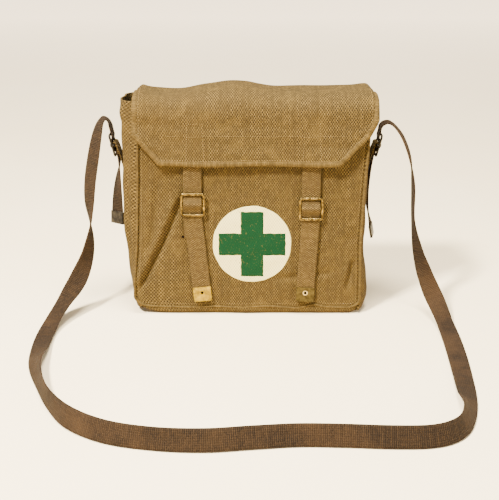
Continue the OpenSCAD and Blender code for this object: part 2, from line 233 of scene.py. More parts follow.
def section(width, thick):
    """Outline of webbing cut across: a flat band with rounded, slightly thinner edges."""
    a = np.array([0.5, 0.485, 0.45, 0.3, 0.1, -0.1, -0.3, -0.45, -0.485, -0.5]) * width
    b = np.array([0.0, 0.34, 0.5, 0.47, 0.46, 0.46, 0.47, 0.5, 0.34, 0.0]) * thick
    top = np.stack([a, b], 1)
    low = np.stack([a[-2:0:-1], -b[-2:0:-1]], 1)
    return np.vstack([top, low])


def disc_section(r, k=12, flatten=1.0):
    """A round outline of k points, flattened across if asked."""
    t = np.arange(k) * 2 * math.pi / k
    return np.stack([r * np.cos(t), r * flatten * np.sin(t)], 1)


def swept(path, wide, outline, closed=False):
    """An outline carried along a path: at each point the width direction is squared up to the path's
    own direction, and the outline is laid in those two directions. Gives points and cloth map."""
    p = np.asarray(path, float)
    if closed:
        t = unit(np.roll(p, -1, 0) - np.roll(p, 1, 0))
    else:
        t = unit(np.gradient(p, axis=0))
    w = np.broadcast_to(np.asarray(wide, float), p.shape)
    a = unit(w - (w * t).sum(1, keepdims=True) * t)
    b = np.cross(t, a)
    q = p[:, None] + a[:, None] * outline[None, :, :1] + b[:, None] * outline[None, :, 1:]
    s = lengths(p)
    flat = np.stack(np.broadcast_arrays(s[:, None], outline[None, :, 0]), -1)
    return q, flat


def band(name, path, wide, outline, material, body="bag", closed=False):
    """A single strip of web, bar or cord."""
    return joined(name, [(path, wide, outline, closed)], material, body)


def joined(name, parts, material, body="bag"):
    """Several swept strips as one mesh; each part is (path, width direction, outline, closed). The
    outline has an even number of points, so that rows of quads close the two ends."""
    points, flats, faces, first = [], [], [], 0
    for path, wide, outline, closed in parts:
        q, flat = swept(path, wide, outline, closed)
        m, n = q.shape[:2]
        f = [cells(m, n, wrap=True)]
        if closed:
            j = np.arange(n)
            k = (j + 1) % n
            f.append(np.stack([(m - 1) * n + j, j, k, (m - 1) * n + k], 1))
        else:
            j = np.arange(n // 2 - 1)
            ends = np.stack([j, j + 1, n - 2 - j, n - 1 - j], 1)
            f += [ends % n, (m - 1) * n + (ends[:, ::-1] % n)]
        points.append(q.reshape(-1, 3))
        flats.append(flat.reshape(-1, 2))
        faces += [x + first for x in f]
        first += m * n
    return put(name, np.vstack(points), faces, material, np.vstack(flats), body)


def stitches(name, lines, material, body="bag", gap=3.6, long=2.5, thick=0.5):
    """Sewing thread: small lens-shaped stitches laid end to end along each line of points, sunk a
    little into the cloth. A line is (points, outward directions)."""
    t = np.arange(6) * math.pi / 3
    ring = np.stack([np.zeros(6), np.cos(t), np.sin(t)], 1)
    slim = ring * [1, 0.8, 0.8]
    shape = np.vstack([[-1, 0, 0], slim + [-0.55, 0, 0], slim + [0.55, 0, 0], [1, 0, 0]])
    i = np.arange(6)
    k = (i + 1) % 6
    start = np.stack([np.zeros(6, int), 1 + k, 1 + i], 1)
    end = np.stack([np.full(6, 13), 7 + i, 7 + k], 1)
    tips = np.vstack([start, end])
    tube = np.stack([1 + i, 1 + k, 7 + k, 7 + i], 1)
    points, count = [], 0
    for line, out in lines:
        line, out = np.asarray(line, float), np.broadcast_to(np.asarray(out, float), np.shape(line))
        both = evenly(np.hstack([line, out]), gap)
        p, n = both[:, :3], unit(both[:, 3:])
        d = unit(np.gradient(p, axis=0))
        side = np.cross(n, d)
        q = (p[:, None] + d[:, None] * shape[None, :, :1] * long / 2
             + side[:, None] * shape[None, :, 1:2] * thick / 2
             + n[:, None] * (shape[None, :, 2:] * thick / 2 + thick * 0.12))
        points.append(q.reshape(-1, 3))
        count += len(p)
    base = (np.arange(count) * 14)[:, None, None]
    faces = [(tips[None] + base).reshape(-1, 3), (tube[None] + base).reshape(-1, 4)]
    return put(name, np.vstack(points), faces, material, None, body)


# ---------------------------------------------------------------- materials

def tree(name):
    """A new material with its shader and output, and a function that adds and links nodes."""
    material = bpy.data.materials.new(name)
    material.use_nodes = True
    nodes, links = material.node_tree.nodes, material.node_tree.links
    shader = nodes["Principled BSDF"]

    def add(kind, settings=None, **inputs):
        node = nodes.new(kind)
        for key, value in (settings or {}).items():
            setattr(node, key, value)
        for key, value in inputs.items():
            key = int(key[1:]) if key[0] == "_" and key[1:].isdigit() else key.replace("_", " ")
            socket = node.inputs[key]
            if isinstance(value, bpy.types.NodeSocket):
                links.new(value, socket)
            else:
                socket.default_value = value
        return node

    return material, shader, add, links


def calc(add, how, a, b=0.0, c=None, clamp=False):
    inputs = {"_0": a, "_1": b}
    if c is not None:
        inputs["_2"] = c
    return add("ShaderNodeMath", {"operation": how, "use_clamp": clamp}, **inputs).outputs[0]


def tint(add, fac, a, b, how="MIX"):
    """Mix of two colours; a and b are colours or sockets."""
    node = add("ShaderNodeMix", {"data_type": "RGBA", "blend_type": how})
    for index, value in ((0, fac), (6, a), (7, b)):
        socket = node.inputs[index]
        if isinstance(value, bpy.types.NodeSocket):
            node.id_data.links.new(value, socket)
        else:
            socket.default_value = value if index == 0 else (*value[:3], 1)
    return node.outputs[2]


def noise(add, where, scale, detail=3.0, rough=0.55):
    return add("ShaderNodeTexNoise", Vector=where, Scale=scale, Detail=detail, Roughness=rough).outputs[0]


def spread(add, value, low, high, out_low=0.0, out_high=1.0):
    node = add("ShaderNodeMapRange", None, _0=value, _1=low, _2=high, _3=out_low, _4=out_high)
    return node.outputs[0]


def scaled(add, where, x, y, z=1.0):
    return add("ShaderNodeMapping", None, Vector=where, Scale=(x, y, z)).outputs[0]


def floats(add, where, across, down):
    """Height of a staggered weave, from 0 to 1: the product of two cosines, one along each way of the
    cloth, so that raised floats and dark gaps alternate in every row. Repeats are in mm."""
    u = add("ShaderNodeSeparateXYZ", None, Vector=where).outputs
    a = calc(add, "COSINE", calc(add, "MULTIPLY", u[0], 2 * math.pi / (across * MM)))
    b = calc(add, "COSINE", calc(add, "MULTIPLY", u[1], 2 * math.pi / (down * MM)))
    return calc(add, "MULTIPLY_ADD", calc(add, "MULTIPLY", a, b), 0.5, 0.5)


def ribs(add, where, across, down):
    """Height of ribbed webbing, from 0 to 1: rounded ribs that run across the band, each cut lightly
    by the threads that cross it. Repeats are in mm."""
    u = add("ShaderNodeSeparateXYZ", None, Vector=where).outputs
    a = calc(add, "COSINE", calc(add, "MULTIPLY", u[0], 2 * math.pi / (across * MM)))
    b = calc(add, "COSINE", calc(add, "MULTIPLY", u[1], 2 * math.pi / (down * MM)))
    return calc(add, "ADD", calc(add, "MULTIPLY_ADD", a, 0.38, 0.5), calc(add, "MULTIPLY", b, 0.12))


def cloth_place(add, wander):
    """The piece's own cloth map in metres, with threads that wander a little."""
    cloth = add("ShaderNodeUVMap", {"uv_map": "cloth"}).outputs[0]
    shift = add("ShaderNodeTexNoise", Vector=scaled(add, cloth, 90, 90), Scale=1.0, Detail=2.0)

    def vector(how, **inputs):
        return add("ShaderNodeVectorMath", {"operation": how}, **inputs).outputs[0]

    away = vector("SUBTRACT", _0=shift.outputs["Color"], _1=(0.5, 0.5, 0.5))
    return cloth, vector("ADD", _0=cloth, _1=vector("SCALE", _0=away, Scale=wander))


def woven(name, bright, dark, across, down, style=floats, depth=0.5, wear=0.5, sheen=0.03,
          grime=(0.45, 0.42, 0.4), streak=0.5):
    """Cloth: floats in one tone over gaps painted darker as shade between threads, each float a little
    different, with slubs along the warp, grime and fading in soft patches, fine fibre relief and a light
    sheen."""
    material, shader, add, links = tree(name)
    cloth, moved = cloth_place(add, 0.0016)
    place = add("ShaderNodeTexCoord").outputs["Object"]
    height = style(add, moved, across, down)
    own = noise(add, scaled(add, cloth, 700 / across, 800 / down), 1.0, 1.0)
    slub = noise(add, scaled(add, cloth, 210, 6), 1.0, 3.0, 0.7)
    cross = noise(add, scaled(add, cloth, 14, 330), 1.0, 2.0)
    broad = noise(add, place, 11.0, 4.0, 0.6)
    fade = noise(add, place, 48.0, 5.0, 0.65)
    # painted shade: the gaps between the floats take the dark colour
    base = tint(add, spread(add, height, 0.4, 0.58), dark, bright)
    base = tint(add, spread(add, own, 0.45, 0.6, 0.0, 0.6), base, [c * 0.25 for c in bright])
    base = tint(add, spread(add, slub, 0.46, 0.56, 0.0, streak), base, [c * 0.3 for c in bright])
    base = tint(add, spread(add, cross, 0.48, 0.66, 0.0, streak * 0.3), base, [c * 0.3 for c in bright])
    dirty = [c * d for c, d in zip(bright, grime)]
    base = tint(add, spread(add, broad, 0.45, 0.7, 0.0, wear * 0.55), base, dirty)
    base = tint(add, spread(add, fade, 0.52, 0.74, 0.0, wear * 0.4), base, [min(1, c * 1.25) for c in bright])
    links.new(base, shader.inputs["Base Color"])
    links.new(spread(add, fade, 0.3, 0.7, 0.82, 0.97), shader.inputs["Roughness"])
    fuzz = noise(add, scaled(add, cloth, 2600, 2600), 1.0, 2.0)
    relief = calc(add, "ADD", height, calc(add, "MULTIPLY", fuzz, 0.3))
    knock = add("ShaderNodeBump", None, Strength=depth, Distance=0.0011, Height=relief)
    links.new(knock.outputs[0], shader.inputs["Normal"])
    shader.inputs["Sheen Weight"].default_value = sheen
    shader.inputs["Sheen Roughness"].default_value = 0.45
    shader.inputs["Sheen Tint"].default_value = (*[min(1, c * 1.5 + 0.03) for c in bright], 1)
    shader.inputs["Specular IOR Level"].default_value = 0.15
    return material


def metal(name, bright, dull, dull_share=0.5, rough=(0.28, 0.6), metallic=1.0, scratch=0.35):
    """Worn metal: polished high spots, dull stain in soft patches, and fine scratches."""
    material, shader, add, links = tree(name)
    place = add("ShaderNodeTexCoord").outputs["Object"]
    stain = noise(add, place, 180.0, 5.0, 0.65)
    fine = noise(add, scaled(add, place, 900, 260, 900), 1.0, 3.0)
    speck = noise(add, place, 1400.0, 2.0)
    base = tint(add, spread(add, stain, 0.5 - 0.3 * dull_share, 0.72 - 0.2 * dull_share), bright, dull)
    base = tint(add, spread(add, speck, 0.58, 0.74, 0.0, 0.5), base, [c * 0.35 for c in dull])
    links.new(base, shader.inputs["Base Color"])
    links.new(spread(add, stain, 0.35, 0.65, rough[0], rough[1]), shader.inputs["Roughness"])
    shader.inputs["Metallic"].default_value = metallic
    knock = add("ShaderNodeBump", None, Strength=scratch, Distance=0.0003,
                Height=calc(add, "ADD", fine, calc(add, "MULTIPLY", stain, 0.6)))
    links.new(knock.outputs[0], shader.inputs["Normal"])
    return material


def painted_film(name, colour, under, across, down):
    """Paint rubbed into canvas: the weave still shows, with painted shade in the gaps between threads, and
    the cloth shows through on worn threads.
    """
    material, shader, add, links = tree(name)
    _, moved = cloth_place(add, 0.0016)
    height = floats(add, moved, across, down)
    place = add("ShaderNodeTexCoord").outputs["Object"]
    worn = noise(add, place, 420.0, 4.0, 0.7)
    patch = noise(add, place, 60.0, 3.0)
    # painted shade: the paint is darker in the weave's gaps
    base = tint(add, spread(add, height, 0.1, 0.7), [c * 0.7 for c in colour], colour)
    base = tint(add, spread(add, patch, 0.45, 0.75, 0.0, 0.3), base, [c * 0.84 for c in colour])
    gaps = calc(add, "MULTIPLY", spread(add, worn, 0.58, 0.7), spread(add, height, 0.75, 0.3))
    base = tint(add, calc(add, "MULTIPLY", gaps, 0.8), base, under)
    links.new(base, shader.inputs["Base Color"])
    links.new(spread(add, worn, 0.3, 0.7, 0.55, 0.8), shader.inputs["Roughness"])
    knock = add("ShaderNodeBump", None, Strength=0.4, Distance=0.0005, Height=height)
    links.new(knock.outputs[0], shader.inputs["Normal"])
    shader.inputs["Specular IOR Level"].default_value = 0.1
    return material


def plain(name, colour, rough, grain=300.0, strength=0.2, metallic=0.0, transmission=0.0, shine=0.5):
    """A smooth finish with fine grain and slight tone changes."""
    material, shader, add, links = tree(name)
    place = add("ShaderNodeTexCoord").outputs["Object"]
    fine = noise(add, place, grain, 3.0)
    soft = noise(add, place, grain * 0.12, 3.0)
    base = tint(add, spread(add, soft, 0.35, 0.7), colour, [c * 0.82 for c in colour])
    links.new(base, shader.inputs["Base Color"])
    links.new(spread(add, fine, 0.3, 0.7, rough * 0.85, min(1.0, rough * 1.15)), shader.inputs["Roughness"])
    knock = add("ShaderNodeBump", None, Strength=strength, Distance=0.0004, Height=fine)
    links.new(knock.outputs[0], shader.inputs["Normal"])
    shader.inputs["Metallic"].default_value = metallic
    shader.inputs["Specular IOR Level"].default_value = shine
    shader.inputs["Transmission Weight"].default_value = transmission
    if transmission:
        shader.inputs["IOR"].default_value = 1.45
    return material


def enamel(name, colour, bare):
    """Painted tinplate: satin paint with chips that show grey metal, and light rubbing."""
    material, shader, add, links = tree(name)
    place = add("ShaderNodeTexCoord").outputs["Object"]
    chips = noise(add, place, 260.0, 5.0, 0.7)
    soft = noise(add, place, 30.0, 3.0)
    mask = spread(add, chips, 0.66, 0.69)
    base = tint(add, spread(add, soft, 0.4, 0.7), colour, [c * 1.35 for c in colour])
    links.new(tint(add, mask, base, bare), shader.inputs["Base Color"])
    links.new(mask, shader.inputs["Metallic"])
    links.new(spread(add, chips, 0.3, 0.7, 0.38, 0.55), shader.inputs["Roughness"])
    knock = add("ShaderNodeBump", {"invert": True}, Strength=0.3, Distance=0.0003, Height=mask)
    links.new(knock.outputs[0], shader.inputs["Normal"])
    return material


FINISH = {}
CANVAS_WEAVE = (3.5, 5.2)


def finish(name):
    """The shared materials, each made once when first asked for."""
    if name in FINISH:
        return FINISH[name]
    c = bpy.context.scene.satchel_colours
    khaki, web, dark, field, cross = [list(v) for v in (c.canvas, c.strap, c.sling, c.disc, c.cross)]

    def shade(colour, share):
        return [x * share for x in colour]

    # each cloth's second colour is the colour of its weave gaps, a painted shade between the threads
    made = {
        "canvas": lambda: woven("khaki_canvas", khaki, shade(khaki, 0.05), *CANVAS_WEAVE, depth=0.9, wear=0.6,
                                sheen=0.008),
        "binding": lambda: woven("canvas_binding", khaki, shade(khaki, 0.35), 2.2, 2.4, depth=0.7, wear=0.6),
        "strap_web": lambda: woven("strap_webbing", web, shade(web, 0.1), 2.9, 4.4, depth=0.7, wear=0.5),
        "sling_web": lambda: woven("sling_webbing", dark, shade(dark, 0.35), 2.3, 2.6, ribs, 0.8, 0.8,
                                   grime=(1.9, 1.8, 1.7)),
        "thread": lambda: plain("linen_thread", [min(1, x * 1.5) for x in khaki], 0.85, 1500.0, 0.4),
        "buckle": lambda: metal("pale_brass", (0.4, 0.26, 0.065), (0.07, 0.043, 0.012), 0.75, (0.2, 0.4)),
        # dark bronze for the side buckles; on the sling tips it stands for brass in shade, painted shade
        "dark": lambda: metal("dark_bronze_and_shade", (0.06, 0.048, 0.032), (0.02, 0.016, 0.012), 0.7, (0.35, 0.7),
                              0.8),
        "tip_bright": lambda: metal("bright_brass", (0.52, 0.36, 0.03), (0.24, 0.155, 0.012), 0.6,
                                    (0.3, 0.5)),
        # painted shade: the right tip is the same brass as the left, darkened for the shade it sits in
        "tip_shaded": lambda: metal("shaded_brass", (0.13, 0.095, 0.03), (0.06, 0.043, 0.015), 0.7,
                                  (0.35, 0.6)),
        "eyelet": lambda: metal("rubbed_eyelet", (0.6, 0.46, 0.2), (0.3, 0.22, 0.08), 0.3, (0.25, 0.45)),
        # painted shade: the dark inside of holes
        "hole_shade": lambda: plain("hole_shadow", (0.004, 0.003, 0.002), 0.95, 900.0, 0.05, shine=0.0),
        "cream": lambda: painted_film("cream_paint", field, khaki, *CANVAS_WEAVE),
        "green": lambda: painted_film("green_paint", cross, khaki, *CANVAS_WEAVE),
        "gauze": lambda: woven("white_gauze", (0.5, 0.48, 0.43), (0.3, 0.28, 0.24), 1.6, 1.6, depth=0.6,
                               wear=0.3, grime=(0.8, 0.75, 0.65)),
        "packet": lambda: woven("waxed_wrapping", (0.3, 0.25, 0.16), (0.2, 0.165, 0.1), 1.2, 1.2, depth=0.25,
                                wear=0.7, sheen=0.05),
        "tape": lambda: woven("cotton_tape", (0.4, 0.37, 0.3), (0.25, 0.22, 0.18), 1.4, 1.4, ribs, 0.4, 0.4),
        "tin": lambda: enamel("olive_enamel", (0.05, 0.06, 0.032), (0.4, 0.4, 0.4)),
        "glass": lambda: plain("amber_glass", (0.5, 0.2, 0.04), 0.06, 60.0, 0.02, 0.0, 0.75),
        "cap": lambda: plain("black_cap", (0.015, 0.015, 0.016), 0.42, 900.0, 0.15),
        "steel": lambda: metal("brushed_steel", (0.5, 0.51, 0.53), (0.32, 0.32, 0.34), 0.25, (0.2, 0.42)),
    }
    FINISH[name] = made[name]()
    return FINISH[name]


def dress(node, name):
    """A CAD node keeps its shape and gets a made material."""
    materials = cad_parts[node].data.materials
    materials.clear()
    materials.append(finish(name))


# ---------------------------------------------------------------- surfaces of the bag

def lean_point(x, u, z):
    """From the front panel's own plane, x across, u outwards and z up the slope, to the frame."""
    x, u, z = np.broadcast_arrays(np.asarray(x, float), u, z)
    return np.stack([x, FOOT - u * COS + z * SIN, u * SIN + z * COS], -1)


OUT = np.array([0, -COS, SIN])


def seam_out(side, z):
    """How far a front seam has pulled sideways from its straight line at height z, in mm. The left
    one spreads towards the foot, the right one towards the mouth."""
    if side < 0:
        return np.interp(z, [0, 8, 20, 45, 100, 190, 250, 300], [3.0, 9.0, 14.0, 13.5, 9.0, 5.3, 3.5, 3.0])
    return np.interp(z, [0, 10, 60, 100, 170, 240, 300], [-1.0, 1.0, 0.5, -0.5, 2.6, 7.0, 8.0])


def corner_lift(x, z):
    """How far the cloth is drawn up at the two lower front corners, in mm. The left one is rounder."""
    x, z = np.broadcast_arrays(np.asarray(x, float), np.asarray(z, float))
    round_off = np.clip((-x - 120) / 34, 0, 1)
    rise = 12.0 * (1 - np.sqrt(1 - round_off ** 2)) + 5.0 * step(x, 136, 155)
    return rise * np.clip(1 - z / 70, 0, 1) ** 2


def settle(x, z):
    """Moves the outer parts of the front panel sideways with its seams."""
    x, z = np.broadcast_arrays(np.asarray(x, float), np.asarray(z, float))
    weight = step(np.abs(x), 92, HALF)
    return x + weight * np.where(x < 0, -seam_out(-1, z), seam_out(1, z))


def crease(x, z, a, b, depth, width, lip):
    """A fold along the line from a to b: a valley, with a softer ridge beside it on the left, faded
    out towards both ends."""
    ax, az, bx, bz = *a, *b
    long = math.hypot(bx - ax, bz - az)
    dx, dz = (bx - ax) / long, (bz - az) / long
    s = ((x - ax) * dx + (z - az) * dz) / long
    d = (x - ax) * dz - (z - az) * dx
    fade = step(s, -0.08, 0.12) * (1 - step(s, 0.85, 1.08))
    return fade * (-depth * bump(d, width) + lip * bump(d - 2.1 * width, 1.6 * width))


def front_relief(x, z):
    """How far the front panel stands out of its plane, in mm: a slight fullness, rounded foot and
    seams, the folds that soft canvas takes below the buckles, and small unevenness."""
    x, z = np.broadcast_arrays(np.asarray(x, float), np.asarray(z, float))
    full = 2.0 * (1 - np.abs(x / HALF) ** 4) * np.sin(np.pi * np.clip(z / 300, 0, 1)) ** 0.8
    under_straps = np.maximum(bump(x + STRAP_X, 22), bump(x - STRAP_X, 22))
    full = full * (1 - 0.75 * under_straps)
    full = full + crease(x, z, (-98, 168), (-146, 34), 7.0, 3.8, 2.8)
    full = full + crease(x, z, (-126, 200), (-136, 90), 2.2, 4.0, 1.0)
    full = full + crease(x, z, (143, 80), (134, 36), 3.2, 3.4, 1.4)
    full = full + crease(x, z, (138, 70), (147, 40), 2.0, 3.0, 0.8)
    full = full + crease(x, z, (28, 52), (118, 62), 1.8, 4.5, 0.6)
    full = full - 2.0 * bump(np.hypot(x - 137, z - 110), 9)
    full = full + crease(x, z, (-112, 268), (-40, 262), 1.2, 5, 0.5)
    full = full + crease(x, z, (112, 216), (136, 150), 1.4, 5, 0.7)
    full = full + 0.7 * ripple(x, z, 70, 3) * (1 - under_straps) + 0.25 * ripple(x, z, 22, 5)
    full = full - 4.5 * (1 - step(z, 0, 9)) ** 2 + 1.2 * bump(z - 4.5, 3.5) * step(np.abs(x), HALF, HALF - 10)
    full = full - 2.6 * step(np.abs(x), HALF - 7, HALF) ** 2
    return full


# Fullness of each side by height, in mm: the heights, then how far the side stands out there
BOW = {
    -1: ([0, 15, 30, 55, 86, 114, 150, 205, 260, 300],
         [14, 17, 19.5, 22.5, 24.5, 27.5, 28.5, 28.5, 29.5, 28]),
    1: ([0, 16, 30, 51, 79, 107, 136, 171, 234, 300],
        [9, 13.5, 14.5, 12.7, 9, 8.5, 9.5, 9.8, 11, 11.5]),
}


def side_relief(side, y, z):
    """How far a side gusset stands out past the seams, in mm: quickly full behind the front seam,
    flat where the chape is sewn, drawn in at the back and the foot, with soft upright folds."""
    front = FOOT + z * math.tan(LEAN)
    s = np.clip((y - front) / (BACK - front), 0, 1)
    seam = seam_out(side, z) * (1 - s)
    most = np.interp(z, *BOW[side])
    quick = 4.6 if side < 0 else 3.4
    shape = np.clip(np.minimum(s * quick, (1 - s) * 3.0), 0, 1)
    shape = np.sin(shape * math.pi / 2) ** (0.8 if side < 0 else 1.0)
    flat_part = bump(y - SIDE_Y, 17) * step(z, 130, 148) * (1 - step(z, 208, 226))
    fold = 0.9 * np.sin(y * 0.16 + 0.012 * z + side) * step(z, 10, 60) + 0.9 * ripple(y, z, 60, 11 + side)
    out = seam + (most - seam) * shape + fold * shape * (1 - flat_part)
    if side < 0:
        knuckle = 4 * bump(y + 27, 6) * bump(z - 284, 12)
        dimple = 7 * bump(y + 14, 5) * bump(z - 279, 14)
        out = out + shape * (knuckle - dimple)
        out = out + crease(y, z, (-33, 262), (-44, 70), 3.2, 3.6, 1.6) * np.clip(shape * 1.5, 0, 1)
        out = out + crease(y, z, (-20, 292), (-31, 214), 2.6, 3.2, 1.0) * shape
    else:
        out = out + crease(y, z, (-28, 240), (-38, 60), 2.0, 4, 1.0) * shape
    limit = SIDE[side] - HALF
    out = out * (1 - flat_part) + flat_part * np.minimum(out, limit - 0.3)
    return out


def back_relief(x, z):
    """How far the back panel stands out, in mm: gently full, with small unevenness."""
    full = 1.6 * (1 - np.abs(x / HALF) ** 4) * np.sin(np.pi * np.clip(z / 285, 0, 1)) ** 0.8
    return full + 0.4 * ripple(x, z, 80, 21) * step(z, 0, 20) * (1 - step(z, 255, 285))


def lid_hump(x):
    """Height of the lid's top over its flat line across the bag, in mm, through listed points."""
    at = [-162, -156, -148, -137, -122, -106, -88, -62, -34, -10, 10, 40, 80, 115, 140, 156, 164, 171]
    up = [5.5, 8.0, 5.5, 2.5, -0.8, 0.2, 2.5, 8.0, 12.5, 11.5, 8.0, 5.0, 5.0, 5.6, 6.6, 8.0, 7.0, 3.0]
    curve = along(np.stack([at, up], 1), 12)
    return np.interp(x, curve[:, 0], curve[:, 1])


def lid_side(x):
    """1 at the lid's two side edges, 0 from 13 mm inside them."""
    x = np.asarray(x, float)
    return 1 - step(np.minimum(x - LID_LEFT, LID_RIGHT - x), 0, 13)


LID_LINE = along([(0, 306.4), (-12, 306.7), (-24, 306.0), (-33.5, 303.4), (-40.4, 298.6), (-44.7, 291.8),
                  (-47.0, 283.4), (-48.3, 270)], 10)


# How far the flap lies out from the front panel's plane, and the height up the slope from which it
# hangs straight, in mm
FLAP_OUT, STRAIGHT = 8.4, 262


def flap_low(x):
    """Height up the slope of the lid's lower edge: level in the middle, with a cut at each corner.
    The right cut turns steeper near the side."""
    cut = np.interp(x, [LID_LEFT, -159.5, -126, 119.5, 158, 167, LID_RIGHT], [44, 40.5, 0, 0, 39.5, 58, 68])
    return 216.6 + cut + 0.9 * np.sin(x * 0.045 + 1) * (1 - np.clip(cut / 30, 0, 1))


def lid_surface(x, t, inside=0.0):
    """The lid's front half: from the middle of the top, over a soft front edge, and down the slope to
    the hem. t runs from 0 to 1 along each column. The top takes the hump, the sides droop a little,
    and the flap swells and waves. inside moves the surface inwards along its own normal."""
    end = FOOT - FLAP_OUT * COS + STRAIGHT * SIN, FLAP_OUT * SIN + STRAIGHT * COS
    profile = np.vstack([LID_LINE, [end]])
    s = lengths(np.hstack([profile, np.zeros((len(profile), 1))]))
    d = t * (s[-1] + STRAIGHT - flap_low(x))
    y = np.interp(d, s, profile[:, 0]) - np.clip(d - s[-1], 0, None) * SIN
    z = np.interp(d, s, profile[:, 1]) - np.clip(d - s[-1], 0, None) * COS
    slope = step(d, 18, 62)
    ny, nz = -np.sin(slope * (math.pi / 2 - LEAN)), np.cos(slope * (math.pi / 2 - LEAN))
    top = 1 - step(d, 6, 60)
    down = step(d, 40, 120)
    edge = np.clip((t - 0.8) / 0.2, 0, 1)
    lift = lid_hump(x) * (0.3 + 0.7 * (1 - step(d, 0, 50))) * (1 - step(d, 44, 78))
    lift = lift - 4.0 * lid_side(x) ** 2 * top
    lift = lift + 1.6 * down * (1 - np.abs(x / 171) ** 3) + 0.9 * ripple(x, d, 85, 31) * (0.4 + down)
    lift = lift + 0.3 * ripple(x, d, 24, 33)
    curl = 2.2 + 1.8 * step(x, 60, 140) + 1.2 * (1 - step(x, -150, -90)) + 0.5 * np.sin(x * 0.08)
    lift = lift + edge * curl
    lift = lift - 2.0 * lid_side(x) ** 2 * down * (1 - edge)
    lift = lift + crease(x, d, (-164, 92), (-120, 118), 1.6, 5, 1.0) \
        + crease(x, d, (128, 104), (168, 78), 1.4, 5, 0.8)
    lift = lift - inside
    points = np.stack([x, y + lift * ny, z + lift * nz], -1)
    return points, np.stack([x, d], -1), np.stack([0 * x, ny, nz], -1)


BACK_LINE = along([(50.4, 284), (50.9, 291), (50.6, 297.5), (48.6, 302.6), (44.2, 305.6), (38, 306.6),
                   (26, 306.6), (12, 306.3), (0, 306.4)], 10)


def lid_back_surface(x, t, inside=0.0):
    """The lid's back half: up from the back panel, round the back edge, and forward to the middle of
    the top, where it meets the front half with the same hump."""
    s = lengths(np.hstack([BACK_LINE, np.zeros((len(BACK_LINE), 1))]))
    d = t * s[-1]
    y, z = np.interp(d, s, BACK_LINE[:, 0]), np.interp(d, s, BACK_LINE[:, 1])
    turn = step(d, 4, 32) * math.pi / 2
    ny, nz = np.cos(turn), np.sin(turn)
    lift = lid_hump(x) * step(d, 14, 40) - 4.0 * lid_side(x) ** 2 * step(d, 12, 34)
    meet = step(s[-1] - d, 0, 40)
    front = 0.36 * ripple(x, 0 * x, 85, 31) + 0.3 * ripple(x, 0 * x, 24, 33)
    lift = lift + back_relief(x, 284 + 0 * d) * (1 - step(d, 0, 30)) + front * (1 - meet)
    lift = lift + 0.9 * ripple(x, d, 60, 35) * meet * step(d, 5, 25) - inside
    return np.stack([x, y + lift * ny, z + lift * nz], -1), np.stack([x, -(s[-1] - d)], -1)


def grid(xs, ts):
    return np.meshgrid(xs, ts, indexing="ij")


def thicker_at_ends(n, power=1.4):
    """n values from 0 to 1, closer together near both ends."""
    t = np.linspace(-1, 1, n)
    return 0.5 + 0.5 * np.sign(t) * (1 - (1 - np.abs(t)) ** power)


# ---------------------------------------------------------------- the cloth pieces

def film(name, xs, zs, keep, surface, thick, material, body="bag"):
    """A thin layer lying on a surface: the cells of a grid that keep chooses, as a top, an underside
    and a rim round every border. surface(x, z, lift) gives the points."""
    m, n = len(xs), len(zs)
    x, z = grid(xs, zs)
    cx = 0.25 * (x[1:, 1:] + x[:-1, 1:] + x[1:, :-1] + x[:-1, :-1])
    cz = 0.25 * (z[1:, 1:] + z[:-1, 1:] + z[1:, :-1] + z[:-1, :-1])
    mask = keep(cx, cz)
    i, j = np.nonzero(mask)
    a, b, c, d = i * n + j, (i + 1) * n + j, (i + 1) * n + j + 1, i * n + j + 1
    top = np.stack([a, b, c, d], 1)
    edges = np.concatenate([np.stack(pair, 1) for pair in ((a, b), (b, c), (c, d), (d, a))])
    code = edges[:, 0] * m * n + edges[:, 1]
    back = edges[:, 1] * m * n + edges[:, 0]
    border = edges[~np.isin(code, back)]
    size = m * n
    rim = np.stack([border[:, 1], border[:, 0], border[:, 0] + size, border[:, 1] + size], 1)
    points = np.concatenate([surface(x, z, thick).reshape(-1, 3), surface(x, z, -0.4).reshape(-1, 3)])
    flat = np.concatenate([np.stack([x, z], -1).reshape(-1, 2)] * 2)
    faces = [top, top[:, ::-1] + size, rim]
    used = np.unique(np.concatenate([f.ravel() for f in faces]))
    new = np.zeros(2 * size, int)
    new[used] = np.arange(len(used))
    return put(name, points[used], [new[f] for f in faces], material, flat[used], body)


def hole(name, at, radius, body):
    """A small hole seen from the front: a dark disc of painted shade that stands a hair proud of the surface.
    """
    path = at + OUT * np.array([-0.6, 0.25])[:, None]
    return band(name, path, (1, 0, 0), disc_section(radius, 14), finish("hole_shade"), body)


